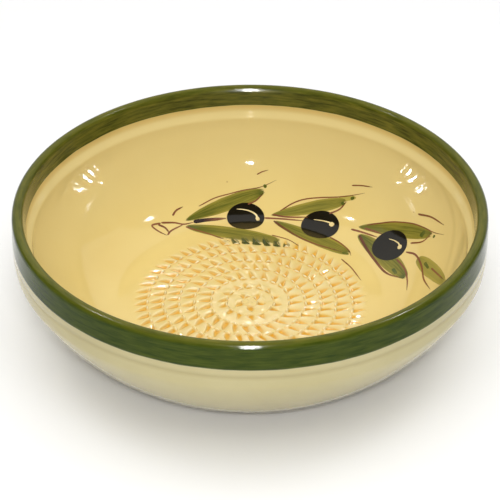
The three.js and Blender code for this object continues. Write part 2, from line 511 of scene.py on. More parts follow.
BAND_EDGE = band_edge_group()
print("band edge group:", len(BAND_EDGE.nodes), "nodes")

# %% [markdown]
# A material is a Principled shader with its constant values set on its own sockets, and node groups for
# what varies over the surface. Everything on this bowl went through the kiln, so each finish starts with
# the marks of fired glaze. The class below starts one, and its methods read what is stored on the mesh,
# place a group, feed a socket of the shader and turn a height into a bump.

# %% Helpers for materials
RIPPLE_SCALE = 420.0
RIPPLE_HEIGHT = 0.02 * MM
STROKES_ROUND_RIM = 9.0  # how often the brush marks change round the rim
STROKES_ACROSS_BAND = 500.0  # and across it, for each metre
BAND_HAIRS = 2.0


def principled(name, **values):
    """A material with a Principled shader whose named sockets hold those values."""
    material = bpy.data.materials.new(name)
    material.use_nodes = True
    shader = material.node_tree.nodes["Principled BSDF"]
    for socket, value in values.items():
        shader.inputs[socket.replace("_", " ")].default_value = value
    return material, shader


def rgb(red, green, blue):
    """A colour from its linear parts."""
    return (red, green, blue, 1.0)


def blend(mask, low, high, mode="MIX"):
    """Mixes two colours by a mask; each colour is a value or a wire."""
    sockets = {0: mask, 6: low, 7: high}
    return add(mask.tree, "ShaderNodeMix", sockets, out=2, data_type="RGBA", blend_type=mode)


class Finish:
    """A material on a Principled shader, with the marks of fired glaze over Object coordinates."""

    def __init__(self, name, clouds, specks, ripples=RIPPLE_SCALE, **values):
        self.material, self.shader = principled(name, **values)
        self.tree = self.material.node_tree
        self.where = add(self.tree, "ShaderNodeTexCoord", out="Object")
        scales = {"Cloud Scale": clouds, "Ripple Scale": ripples, "Speck Scale": specks}
        fired = self.group(FIRED_GLAZE, Place=self.where, **scales)
        self.cloud, self.ripple, self.speck = fired["Cloud"], fired["Ripple"], fired["Speck"]

    def group(self, shared, **sockets):
        """Places a shared group with those inputs; gives its outputs by name."""
        return add(self.tree, "ShaderNodeGroup", sockets, out=None, node_tree=shared)

    def stored(self, name):
        """A number stored on the mesh."""
        return add(self.tree, "ShaderNodeAttribute", out="Fac", attribute_name=name)

    def uv(self):
        """The place on the piece's UV map."""
        return add(self.tree, "ShaderNodeTexCoord", out="UV")

    def brushed_round_rim(self):
        """Brush marks of strokes that run round the bowl and close on themselves."""
        ring = vector_sum("NORMALIZE", flattened(self.where))
        wide = vector_sum("MULTIPLY", ring, (STROKES_ROUND_RIM, STROKES_ROUND_RIM, 0.0))
        lift = combine(self.tree, z=self.stored("run") * STROKES_ACROSS_BAND)
        return self.group(BRUSH, Stroke=vector_sum("ADD", wide, lift), Hairs=BAND_HAIRS)

    def feed(self, socket, wire):
        """Links a wire to a socket of the shader."""
        plug(wire, self.shader.inputs[socket])

    def bump(self, height, distance=RIPPLE_HEIGHT):
        """Feeds a height to the shader's normal; the distance is that of a full step of height."""
        sockets = {"Height": height, "Distance": distance, "Strength": 1.0}
        self.feed("Normal", add(self.tree, "ShaderNodeBump", sockets))


print("material helpers ready")

# %% [markdown]
# The cream glaze is clear and yellowish over a pale slip. Inside it is warm and lies thick, so it pools
# darker in the corner between the band and the ledge, and it pales towards the lip. Outside the same glaze
# is painted darker and greyer as painted shade, with a line of painted shade in the crease below the band,
# and it darkens towards the foot as painted shade under the belly. Both recipes are one function with other
# colours.
# The clouds shift the colour, the specks burn brown, and the wavering edge of the band is painted over the
# top.

# %% Cream glazes
CREAM_PALE = rgb(0.745, 0.580, 0.220)
CREAM_DEEP = rgb(0.715, 0.540, 0.190)
# painted shade: the outside is the same cream glaze, painted darker and greyer
SHADED_CREAM_PALE = rgb(0.52, 0.455, 0.235)
SHADED_CREAM_DEEP = rgb(0.48, 0.415, 0.200)
POOL_INSIDE = (rgb(0.56, 0.36, 0.07), 0.9, 2.6, 0.5)  # colour, run and reach in mm, share
# painted shade: a darker line in the crease below the band
CREASE_SHADE_OUTSIDE = (rgb(0.25, 0.19, 0.047), 4.1, 1.6, 0.3)
THIN_INSIDE = (rgb(0.74, 0.60, 0.27), 8, 45, 0.8, 0.0)  # colour, runs in mm, shares there
# painted shade: the outside darkens and greys towards the foot
FOOT_SHADE_OUTSIDE = (rgb(0.33, 0.285, 0.17), 12, 62, 0.0, 0.9)
SMOOTH_INSIDE = (0.03, 0.06)  # roughness where the glaze is thin and where it is thick
SMOOTH_OUTSIDE = (0.07, 0.12)
SPECK_BROWN = rgb(0.36, 0.17, 0.05)
GREEN_DEEP = rgb(0.024, 0.044, 0.003)
GREEN_THIN = rgb(0.066, 0.088, 0.008)
CREAM_CLOUDS = 26.0
CREAM_SPECKS = 95.0
BAND_STRAY = 0.7 * MM  # how far the green strays over the band's edge


def cream_glaze(name, pale, deep, pool, drift, roughness):
    """A gloss cream glaze with a darker stripe at one run below the band, pooled glaze inside and painted
    shade in the crease outside, which drifts to another colour between two runs: paler towards the lip
    inside, and painted shade towards the foot outside."""
    finish = Finish(name, CREAM_CLOUDS, CREAM_SPECKS, Specular_IOR_Level=0.55)
    run = finish.stored("run")
    # inside the drift pales towards the lip; outside it is painted shade that darkens towards the foot
    drift_colour, first_run, last_run, first_share, last_share = drift
    drifted = spread(run, first_run * MM, last_run * MM, first_share, last_share)
    body = blend(drifted, blend(finish.cloud, pale, deep), drift_colour)
    # inside this darker stripe is pooled glaze; outside it is painted shade in the crease
    pool_and_shade_colour, pool_and_shade_run, reach, share = pool
    off_pool_and_shade = abs(run - pool_and_shade_run * MM)
    pooled = blend(spread(off_pool_and_shade, 0.0, reach * MM, share, 0.0), body, pool_and_shade_colour)
    specked = blend(finish.speck, pooled, SPECK_BROWN)
    edge = finish.group(BAND_EDGE, Place=finish.where, Run=run, Reach=BAND_STRAY)
    green = blend(finish.brushed_round_rim()["Streak"], GREEN_DEEP, GREEN_THIN)
    finish.feed("Base Color", blend(edge["Cover"], specked, green))
    finish.feed("Roughness", spread(finish.cloud, 0, 1, *roughness))
    finish.bump(finish.ripple)
    return finish.material


CREAM_INSIDE = cream_glaze("cream_inside", CREAM_PALE, CREAM_DEEP, POOL_INSIDE, THIN_INSIDE, SMOOTH_INSIDE)
CREAM_OUTSIDE = cream_glaze(
    "cream_outside", SHADED_CREAM_PALE, SHADED_CREAM_DEEP, CREASE_SHADE_OUTSIDE, FOOT_SHADE_OUTSIDE, SMOOTH_OUTSIDE
)
print("cream glazes:", CREAM_INSIDE.name, CREAM_OUTSIDE.name)

# %% [markdown]
# The band is the same clear glaze over green pigment. The brush leaves it darkest on the outside and
# thinner within, and the molten glaze drains off the crest of the lip, where the pigment shows a golden
# olive that is also lightened as a painted sheen. A clear coat lies over the crest, so that it carries the
# brightest lights, and over the inside, which mirrors the yellow wall.

# %% The green band's glaze
WITHIN_DEEP = rgb(0.032, 0.042, 0.003)
WITHIN_THIN = rgb(0.150, 0.145, 0.016)
# golden olive of the thin crest, made lighter as a painted sheen
CREST_GOLD_AND_SHEEN = rgb(0.165, 0.15, 0.018)
CLOUD_SHADE = rgb(0.40, 0.46, 0.30)
CREST_COAT = 0.28
WITHIN_COAT = 0.4


def green_band_glaze(crest_run):
    """Gloss green with streaks round the bowl, a thin, golden crest lightened as a painted sheen, and a
    thinner inside.
    """
    finish = Finish(
        "green_band", 40.0, CREAM_SPECKS, Specular_IOR_Level=0.12, Coat_Roughness=0.2, Coat_IOR=1.6
    )
    run = finish.stored("run")
    brushed = finish.brushed_round_rim()
    outside = blend(brushed["Streak"], GREEN_DEEP, GREEN_THIN)
    inside = blend(brushed["Streak"], WITHIN_DEEP, WITHIN_THIN)
    body = blend(spread(run, crest_run, crest_run + 3 * MM), outside, inside)
    off_crest = abs(run - crest_run)
    # the crest is thin glaze and painted sheen
    crest_thin_and_sheen = spread(off_crest, 0.4 * MM, 3.4 * MM, 0.8, 0.0) * spread(brushed["Wash"], 0, 1, 0.45, 1.0)
    crested = blend(crest_thin_and_sheen, body, CREST_GOLD_AND_SHEEN)
    finish.feed("Base Color", blend(spread(finish.cloud, 0, 1, 0.0, 0.25), crested, CLOUD_SHADE, "MULTIPLY"))
    crest_coat = spread(off_crest, 0.6 * MM, 2.2 * MM, CREST_COAT, 0.0)
    within_coat = spread(run, crest_run + 2 * MM, crest_run + 4 * MM, 0.0, WITHIN_COAT)
    finish.feed("Coat Weight", crest_coat.math("MAXIMUM", within_coat))
    finish.feed("Roughness", spread(finish.cloud, 0, 1, 0.07, 0.12))
    finish.bump(finish.ripple + brushed["Streak"])
    return finish.material


crest_run = lengths(section[outer_edge:crown + 1])[-1]
band_length = lengths(section[outer_edge:inner_edge + 1])[-1]
GREEN_BAND = green_band_glaze(crest_run)
print(f"band: {band_length / MM:.1f} mm from edge to edge, crest after {crest_run / MM:.1f} mm")

# %% [markdown]
# The foot is wiped clean before firing, so the red earthenware shows there and underneath. Turning leaves
# fine rings in it, and the body has a sandy grain. The rings follow the radius, which a short sum gives.

# %% Bare fired clay
CLAY_RINGS = 900.0  # how often the rings change, for each metre of radius
CLAY_GRAIN = 1500.0
CLAY_BUMP = 0.12 * MM


def bare_clay():
    """Matt red earthenware with turning rings and a sandy grain."""
    finish = Finish("clay", 55.0, 260.0, ripples=CLAY_GRAIN, Specular_IOR_Level=0.3)
    rings = noise(combine(finish.tree, from_axis(finish.where) * CLAY_RINGS), 1.0, 3.0)
    body = blend(finish.cloud, rgb(0.56, 0.26, 0.115), rgb(0.42, 0.18, 0.075))
    ringed = blend(spread(rings, 0.4, 0.7, 0.0, 0.35), body, rgb(0.66, 0.36, 0.19))
    finish.feed("Base Color", blend(finish.speck, ringed, rgb(0.20, 0.08, 0.04)))
    finish.feed("Roughness", spread(finish.ripple, *MIDDLE_NOISE, 0.7, 0.9))
    finish.bump(finish.ripple + rings, CLAY_BUMP)
    return finish.material


CLAY = bare_clay()
print("clay ready")

# %% [markdown]
# Now the turned pieces. Three coats share the section, each from one edge of the band to the next, and the
# clay body fills the space behind them. Its outline starts on the axis under the floor, goes round the foot
# ring and up the back of the glaze, over the lip and down to the seat of the toothed disc. Shallow rings
# under the floor are what the turning tool leaves.

# %% The turned pieces
FOOT_WIDTH = 8 * MM
FOOT_CHAMFER = 1.4 * MM
TOOL_PITCH = 3.4 * MM
TOOL_DEPTH = 0.10 * MM
TOOL_POINTS = 90


def clay_outline():
    """The clay body's section, from the axis underneath to the axis at the seat of the teeth."""
    foot_inside = FOOT_RADIUS - FOOT_WIDTH
    under = np.linspace(0, foot_inside - FOOT_CHAMFER, TOOL_POINTS)
    marks = FOOT_HEIGHT + TOOL_DEPTH * np.sin(math.tau * under / TOOL_PITCH)
    foot = [
        (foot_inside, FOOT_HEIGHT - FOOT_CHAMFER / 2),
        (foot_inside + FOOT_CHAMFER / 4, FOOT_CHAMFER / 4),
        (foot_inside + FOOT_CHAMFER, 0),
        (FOOT_RADIUS - FOOT_CHAMFER, 0),
        (FOOT_RADIUS - FOOT_CHAMFER / 3, FOOT_CHAMFER / 3),
        (FOOT_RADIUS, FOOT_CHAMFER),
    ]
    wall = thinned(glaze_back, BACK_STRIDE)
    return np.vstack([np.stack([under, marks], axis=1), foot, wall, [(DISC_RADIUS, SEAT), (0, SEAT)]])


outline = clay_outline()
clay_body = turned("clay_body", outline, lengths(outline), CLAY)
cream_outside = turned("cream_outside", *coat_outline(0, outer_edge, upwards=True), CREAM_OUTSIDE)
green_rim = turned("green_rim", *coat_outline(outer_edge, inner_edge), GREEN_BAND)
cream_inside = turned("cream_inside", *coat_outline(inner_edge, len(section) - 1), CREAM_INSIDE)

# %% [markdown]
# Each tooth is one jab of a pointed tool, held askew: it ploughs a furrow that widens and deepens towards
# the middle of the bowl, turns up a sharp lip along one side, and pushes up a curved burr at its end. There
# are more than two hundred, so one tooth is made with a few dozen faces and the tree repeats it. The tooth
# is drawn in a unit cell: x goes across it from 0 to 1, y from its tail at 0 to the foot of its burr at 1,
# and z is the true height. Rows at y = -1 mark the bare clay outside the tail, and the underside closes the
# cell, so that a full ring of cells is a closed body. Four numbers are stored on its points: where glaze
# pools, where it runs thin and is painted paler as a painted sheen, which edges stay keen, and which points
# are on the border.

# %% One tooth
FURROW_ROWS = [
    # along, how wide the furrow opens, its bottom and its lip in mm, glaze pooled in it
    (0.00, 0.12, 0.00, 0.00, 0.00),
    (0.10, 0.28, -0.30, 0.18, 0.40),
    (0.34, 0.56, -0.75, 0.38, 0.80),
    (0.62, 0.86, -1.00, 0.45, 1.00),
    (0.80, 1.04, -0.85, 0.34, 1.00),
]
BURR_ROWS = [
    # along in the middle and at the ends, half width, height in mm, thin glaze with painted sheen, pooled
    # glaze
    (0.845, 0.825, 0.27, 0.75, 0.6, 0.2),
    (0.915, 0.850, 0.29, 1.40, 1.0, 0.0),
    (0.970, 0.900, 0.29, 0.90, 1.0, 0.0),
    (0.985, 0.940, 0.28, 0.00, 0.1, 0.9),
    (1.000, 1.000, 0.27, 0.00, 0.0, 0.0),
]
BURR_CREST = max(row[3] for row in BURR_ROWS)
BURR_MIDDLE = 0.55  # where the burr's middle lies across the cell
FURROW_MIDDLE = 0.46  # where the furrow's bottom lies across the cell
COLUMNS = 7
PLAIN = [0, 0.2, 0.4, 0.5, 0.6, 0.8, 1]  # columns of a row with no relief
NONE = [0] * COLUMNS


class ToothRows:
    """Collects the rows of points of a tooth, with what is stored on each point."""

    def __init__(self):
        self.points = []
        self.stored = {"pool": [], "thin": [], "keen": [], "border": []}

    def add(self, along, across, heights, pool=NONE, thin=NONE, keen=NONE, border=0):
        """One row; along is one number or one for each column."""
        self.points.extend(zip(across, np.broadcast_to(along, COLUMNS), heights))
        for values, kept in zip((pool, thin, keen, [border] * COLUMNS), self.stored.values()):
            kept.extend(values)


print(f"tooth: {len(FURROW_ROWS)} rows of the furrow, {len(BURR_ROWS)} of the burr")

# %% [markdown]
# The rows become points, from the underside over the tail, the furrow and the burr and back. The lip stands
# along one side of the furrow and the burr curves round its end, so each row says how its seven points lie
# across the cell and how high. The faces then join each row to the next, and the last one to the first.

# %% The tooth's points and faces
def tooth_rows():
    """The rows of the unit tooth, from its underside over the tail and the burr and back."""
    depth = [SEAT - FLOOR] * COLUMNS
    rows = ToothRows()
    rows.add(-1, PLAIN, depth, border=1)
    rows.add(-1, PLAIN, NONE, border=1)
    for along, opening, bottom, lip, pool in FURROW_ROWS:
        across = [0] + [FURROW_MIDDLE + opening * k for k in (-0.20, -0.11, 0.02, 0.27, 0.42)] + [1]
        heights = [0.15 * lip, lip, 0.6 * bottom, bottom, 0.5 * bottom, 0, 0.15 * lip]
        glaze = [pool * k for k in (0, 0, 0.5, 1, 1, 0.2, 0)]
        # the lips are marked pale where glaze runs thin, which also paints their sheen
        drained = [lip * k for k in (0.4, 1.2, 0, 0, 0, 0, 0.4)]
        rows.add(along, across, [h * MM for h in heights], glaze, drained, [0, 1, 0, 0, 0, 0, 0])
    for middle, ends, half, height, thin, pool in BURR_ROWS:
        across = [0] + [BURR_MIDDLE + half * k for k in (-1, -0.5, 0, 0.5, 1)] + [1]
        along = [ends + (middle - ends) * k for k in (0, 0, 0.75, 1, 0.75, 0, 0)]
        heights = [height * MM * k for k in (0, 0, 0.85, 1, 0.85, 0, 0)]
        beside = 0.5 * (ends < 0.95)
        glaze = [0, beside, pool, pool, pool, beside, 0]
        # the burr's pale mark is thin glaze and painted sheen
        drained = [thin * k for k in (0, 0, 1, 1, 1, 0, 0)]
        keen = [0, 0, 1, 1, 1, 0, 0] if height == BURR_CREST else NONE
        rows.add(along, across, heights, glaze, drained, keen, int(ends == 1))
    rows.add(1, PLAIN, depth, border=1)
    return rows


def tooth_cell():
    """The unit tooth as an object, with the stored numbers as attributes."""
    rows = tooth_rows()
    count = len(rows.points) // COLUMNS
    faces = []
    for row in range(count):
        here, there = row * COLUMNS, (row + 1) % count * COLUMNS
        faces.extend((here + k, here + k + 1, there + k + 1, there + k) for k in range(COLUMNS - 1))
    mesh = bpy.data.meshes.new("tooth_cell")
    mesh.from_pydata(rows.points, [], faces)
    for name, values in rows.stored.items():
        set_numbers(mesh, name, values)
    print(f"tooth: {len(rows.points)} points, {len(faces)} faces")
    return bpy.data.objects.new("tooth_cell", mesh)


tooth = tooth_cell()

# %% [markdown]
# One ring of teeth is a row of cells on a straight line, realized and then bent: x becomes the angle, y
# becomes the radius, and a lean turns the tails off the radius. A seeded random number for each cell raises
# or sinks its burr, and fades to nothing at the cell's sides so that neighbours still meet. The outermost
# ring also takes in the plain border, and the rings round the heart have shorter teeth with bare clay
# between them.

# %% The tree for one ring of teeth
RING_SIZES = (
    "Field Radius", "Border Radius", "Ring Pitch", "Tooth Pitch", "Ring Gap", "Lean", "Unevenness", "Floor"
)
RING_INPUTS = {"Tooth": OBJECT, "Seed": INT, **dict.fromkeys(RING_SIZES, FLOAT)}
CREST_PLACE = 0.13  # how far from its foot the burr is highest, of a tooth's length
SEED_STEP = 17  # keeps the rings' random numbers apart
SIDE_SWAY = 0.35  # how far an uneven tooth strays sideways, of a cell
UNDERSIDE = -2 * MM  # points below this belong to the underside
RING_SEAM = 0.005 * MM


def ring_tree():
    """A tree that makes one ring of teeth, a closed ring-shaped body, from the unit tooth."""
    inputs = {**RING_INPUTS, "Ring": INT, "Bare Width": FLOAT}
    tree, given, result = open_group("ring of teeth", "GeometryNodeTree", inputs, {"Geometry": GEOMETRY})
    ring, pitch = given["Ring"], given["Ring Pitch"]
    burr_foot = given["Field Radius"] - ring * pitch + given["Ring Gap"]
    length = pitch - given["Bare Width"]
    tail = burr_foot + length
    border = ring.math("COMPARE", 1, 0.1) * given["Border Radius"]
    outside = (burr_foot + pitch).math("MAXIMUM", border)
    crest = length * CREST_PLACE + burr_foot
    count = (crest * math.tau / given["Tooth Pitch"]).math("ROUND").math("MAXIMUM", 3)

    cell = add(tree, "GeometryNodeObjectInfo", {"Object": given["Tooth"]}, out="Geometry")
    line = add(tree, "GeometryNodeMeshLine", {"Count": count, "Offset": (1.0, 0.0, 0.0)})
    cells = add(tree, "GeometryNodeInstanceOnPoints", {"Points": line, "Instance": cell})
    throw = {2: -1.0, 3: 1.0, "Seed": ring * SEED_STEP + given["Seed"]}
    dice = add(tree, "FunctionNodeRandomValue", throw, out=1, data_type="FLOAT")
    marked = store(tree, cells, "chance", dice, "INSTANCE")
    real = add(tree, "GeometryNodeRealizeInstances", {"Geometry": marked})

    x, y, z = parts(add(tree, "GeometryNodeInputPosition"))
    inside = y.math("MAXIMUM", 0)
    beyond = (y * -1).math("MAXIMUM", 0)
    radius = tail - inside * length + beyond * (outside - tail)
    middle = length * 0.5 + burr_foot
    lean = given["Lean"].math("TANGENT") * ((radius - burr_foot) / middle)
    window = (x.math("FRACT") * math.pi).math("SINE")
    sway = read(tree, "chance") * window * given["Unevenness"]
    angle = (x + sway * SIDE_SWAY) / count * math.tau + lean
    height = add(tree, "ShaderNodeMix", {0: z > UNDERSIDE, 2: z, 3: z * (sway + 1)})
    bent = combine(
        tree, radius * angle.math("COSINE"), radius * angle.math("SINE"), height + given["Floor"]
    )
    moved = add(tree, "GeometryNodeSetPosition", {"Geometry": real, "Position": bent})
    closed = add(tree, "GeometryNodeMergeByDistance", {"Geometry": moved, "Distance": RING_SEAM})
    plug(closed, result["Geometry"])
    return tree


RING_TREE = ring_tree()
print("ring tree:", len(RING_TREE.nodes), "nodes")

# %% [markdown]
# No hand pricks perfect circles. A slow noise shifts every point of the field sideways, the same for all
# the rings so that they still meet, and a quicker one crumples the heart. Moving each tooth by itself would
# tear the rings.

# %% Unevenness of a hand
SLOW_NOISE = 130.0
QUICK_NOISE = 420.0
CALM_EDGE = 0.9  # the shift fades out between this share of the field's radius and its edge
FULL_CRUMPLE = 0.4  # the crumpling is full within this share of its radius


def noise_offset(flat, scale):
    """A noise vector around zero at flat places."""
    return vector_sum("SUBTRACT", noise(flat, scale, 3.0, out="Color"), (0.5, 0.5, 0.5))


def by_hand(tree, geometry, sway, crumple, edge, heart, top):
    """Shifts the points of a field sideways, less towards its edge, and crumples the top of its heart."""
    where = add(tree, "GeometryNodeInputPosition")
    flat = flattened(where)
    reach = vector_sum("LENGTH", flat, out="Value")
    drift = spread(reach, edge, edge * CALM_EDGE) * sway
    lift = spread(reach, heart, heart * FULL_CRUMPLE) * (parts(where)[2] > top) * crumple
    dx, dy, _ = parts(noise_offset(flat, SLOW_NOISE))
    dz = parts(noise_offset(flat, QUICK_NOISE))[0]
    shift = combine(tree, dx * drift, dy * drift, dz * lift)
    return add(tree, "GeometryNodeSetPosition", {"Geometry": geometry, "Offset": shift})


print("helpers for unevenness ready")

# %% [markdown]
# The whole field is seven rings and a small plug at the heart, joined in one more tree. One level of
# subdivision rounds the teeth as melted glaze does, creased borders keep the rings' edges where they meet,
# and a weak crease keeps lips and burrs keen. The unevenness comes last, so that it bends the rounded teeth
# as well.

# %% The tree for the whole field
RINGS = 7
HEART_RINGS = 2
HEART_GAP = 2.7 * MM
HEART_SIDES = 24
KEEN_CREASE = 0.25
ON_EDGE = 0.98  # stored marks above this count as full
TOP_SHARE = 0.9  # the top is what lies above this share of the depth


def field_tree():
    """A tree that joins the rings of teeth, from the border to the heart."""
    more = ("Heart Radius", "Depth", "Hand Sway", "Crumple", "Crumple Radius")
    inputs = {**RING_INPUTS, **dict.fromkeys(more, FLOAT), "Material": MATERIAL}
    tree, given, result = open_group("field of teeth", "GeometryNodeTree", inputs, {"Geometry": GEOMETRY})
    joined = tree.nodes.new("GeometryNodeJoinGeometry")
    shared = {name: given[name] for name in RING_INPUTS}
    for ring in range(1, RINGS + 1):
        bare = HEART_GAP if ring > RINGS - HEART_RINGS else given["Ring Gap"]
        sockets = {**shared, "Ring": ring, "Bare Width": bare}
        plug(add(tree, "GeometryNodeGroup", sockets, node_tree=RING_TREE), joined.inputs[0])
    floor, depth = given["Floor"], given["Depth"]
    sizes = {"Vertices": HEART_SIDES, "Radius": given["Heart Radius"], "Depth": depth}
    heart = add(tree, "GeometryNodeMeshCylinder", sizes, out="Mesh", fill_type="TRIANGLE_FAN")
    drop = combine(tree, z=depth * -0.5 + floor)
    sunk = add(tree, "GeometryNodeTransform", {"Geometry": heart, "Translation": drop})
    plug(store(tree, sunk, "border", 1.0), joined.inputs[0])
    marks = {0: read(tree, "border"), 1: ON_EDGE}
    creased = add(tree, "FunctionNodeCompare", marks, operation="GREATER_THAN")
    keen = (read(tree, "keen") > ON_EDGE) * KEEN_CREASE
    field = {"Mesh": Wire(joined.outputs[0]), "Level": 1, "Edge Crease": creased.math("MAXIMUM", keen)}
    rounded = add(tree, "GeometryNodeSubdivisionSurface", field)
    top = depth * -TOP_SHARE + floor
    hand = (given["Hand Sway"], given["Crumple"], given["Field Radius"], given["Crumple Radius"])
    close_tree(tree, by_hand(tree, rounded, *hand, top), creased, given["Material"], result)
    return tree


FIELD_TREE = field_tree()
print("field tree:", len(FIELD_TREE.nodes), "nodes")

# %% [markdown]
# On the teeth the glaze runs off the burrs and lips, which are left pale, and pools in the furrows, where
# it is thick enough to turn amber. The pale colour of the burrs and lips is also a painted sheen, lighter
# than thin glaze alone. Both amounts were stored on the tooth's points, so the colours follow every tooth.
# One painted leaf crosses the outermost teeth, where the burrs scraped the most paint off the brush, and
# both covers are stored the same way. A clear coat gives the burrs their sparks, and ends with the teeth.

# %% The grater's glaze
FIELD_RADIUS = 50.5 * MM
COAT_FADE = 3 * MM
# pale cream of thin glaze, lightened as a painted sheen on burrs and lips
THIN_CREAM_AND_SHEEN = rgb(0.87, 0.78, 0.50)
THIN_AND_SHEEN_SHARE = 0.75
AMBER = rgb(0.66, 0.32, 0.008)
LEAF_ON_TEETH = (rgb(0.13, 0.125, 0.018), rgb(0.19, 0.17, 0.026))
DARK_DAB = rgb(0.040, 0.060, 0.010)
TEETH_RIPPLES = 600.0
TEETH_BUMP = 0.10 * MM


def grater_glaze():
    """Cream glaze that pools amber in the furrows, with the painted leaf's green where it is covered."""
    finish = Finish(
        "grater_glaze", CREAM_CLOUDS, CREAM_SPECKS, TEETH_RIPPLES,
        Specular_IOR_Level=0.55, Coat_Roughness=0.03, Coat_IOR=1.6,
    )
    body = blend(finish.cloud, CREAM_PALE, CREAM_DEEP)
    # burrs and lips painted paler: thin glaze and painted sheen
    drained = blend(spread(finish.stored("thin"), 0, 1, 0, THIN_AND_SHEEN_SHARE), body, THIN_CREAM_AND_SHEEN)
    pool = finish.stored("pool") * spread(finish.ripple, *MIDDLE_NOISE, 0.85, 1.0)
    pooled = blend(pool, drained, AMBER)
    leafy = blend(finish.stored("leaf"), pooled, blend(finish.ripple, *LEAF_ON_TEETH))
    finish.feed("Base Color", blend(finish.stored("dab"), leafy, DARK_DAB))
    reach = from_axis(finish.where)
    finish.feed("Coat Weight", spread(reach, FIELD_RADIUS - COAT_FADE, FIELD_RADIUS, 1, 0))
    finish.feed("Roughness", spread(finish.cloud, 0, 1, 0.07, 0.13))
    finish.bump(finish.ripple, TEETH_BUMP)
    return finish.material


GRATER_GLAZE = grater_glaze()
print("grater glaze ready")

# %% [markdown]
# The field is grown once, at the place of the toothed disc. All its sizes are inputs of the tree, so
# another bowl could have finer teeth or more of them, and the seed keeps the unevenness the same each time.

# %% The grater field
RING_PITCH = 6.8 * MM
RING_GAP = 0.1 * MM
field_sizes = {
    "Tooth": tooth,
    "Field Radius": FIELD_RADIUS,
    "Border Radius": DISC_RADIUS,
    "Ring Pitch": RING_PITCH,
    "Tooth Pitch": 4.6 * MM,
    "Ring Gap": RING_GAP,
    "Lean": math.radians(22),
    "Unevenness": 0.45,
    "Floor": FLOOR,
    "Seed": 5,
    "Heart Radius": FIELD_RADIUS - RINGS * RING_PITCH + RING_GAP,
    "Depth": FLOOR - SEAT,
    "Hand Sway": 3.0 * MM,
    "Crumple": 2.0 * MM,
    "Crumple Radius": 15 * MM,
    "Material": GRATER_GLAZE,
}
grater_field = grow("grater_field", FIELD_TREE, field_sizes)
bpy.data.objects.remove(tooth)

# %% [markdown]
# The sprig is painted on the flat of an unrolled bowl first: each place is a distance from the middle of
# the floor, measured along the wall, and a direction. A potter thinks the same way, with strokes that fan
# out over the curve. Leaves are strokes of a loaded brush with a bent spine, olives are ovals, and fine
# lines are drawn last with a liner. All of them are made as thin flat plates and then laid on the wall by
# one tree.

# %% Flat plates for the brushwork
SUNK = -0.08 * MM  # the plates' hidden underside lies below the face of the glaze


class Plates:
    """Collects closed thin plates: grids of flat points with a UV along and across and a load of paint."""

    def __init__(self):
        self.points, self.faces, self.corners, self.loads = [], [], [], []

    def add(self, grid, uv, lift, load=0.0, closed=False):
        """One plate; grid and uv are rows by columns by 2, and a closed one joins its last row and first."""
        rows, columns = grid.shape[:2]
        first, under = len(self.points), rows * columns
        for level in (lift, SUNK):
            heights = np.broadcast_to(level, (rows, columns)).ravel()
            self.points.extend((x, y, z) for (x, y), z in zip(grid.reshape(-1, 2), heights))
        self.corners.extend(uv.reshape(-1, 2).tolist() * 2)
        self.loads.extend([load] * (2 * under))

        def at(row, column):
            return first + row % rows * columns + column

        def side(a, b, way):
            self.faces.append([a, a + under, b + under, b][::way])

        for row in range(rows if closed else rows - 1):
            for column in range(columns - 1):
                top = [at(row, column), at(row + 1, column), at(row + 1, column + 1), at(row, column + 1)]
                self.faces.append(top)
                self.faces.append([corner + under for corner in reversed(top)])
            side(at(row, 0), at(row + 1, 0), 1)
            side(at(row, columns - 1), at(row + 1, columns - 1), -1)
        for column in range(0 if closed else columns - 1):
            side(at(0, column), at(0, column + 1), -1)
            side(at(rows - 1, column), at(rows - 1, column + 1), 1)

    def mesh(self, name):
        """The plates as one mesh with a UV map and the load of each plate."""
        made = bpy.data.meshes.new(name)
        made.from_pydata(self.points, [], self.faces)
        layer = made.uv_layers.new(name="UVMap")
        corners = np.zeros(len(made.loops), np.int32)
        made.loops.foreach_get("vertex_index", corners)
        layer.data.foreach_set("uv", np.array(self.corners, np.float32)[corners].ravel())
        set_numbers(made, "load", self.loads)
        return made


def stroke_plate(line, t, half, columns):
    """The grid and the UV of a stroke along a line, with half its width at each point."""
    across = np.linspace(-1, 1, columns)
    grid = line[:, None] + normals(line)[:, None] * (half[:, None] * across)[..., None]
    return grid, np.stack(np.broadcast_arrays(t[:, None], (across + 1) / 2), axis=2)


print(f"plates: sunk {-SUNK / MM:.2f} mm into the glaze")

# %% [markdown]
# The tree that lays a plate on the wall turns the section into a curve and reads it at the distance from
# the middle. That gives the radius and height there, and the curve's direction gives the wall's normal,
# along which the plate's small thickness is set. The same tree would lay any flat ornament on any turned
# wall.

# %% The tree that lays flat work on the wall
PLATE_SEAM = 0.001 * MM


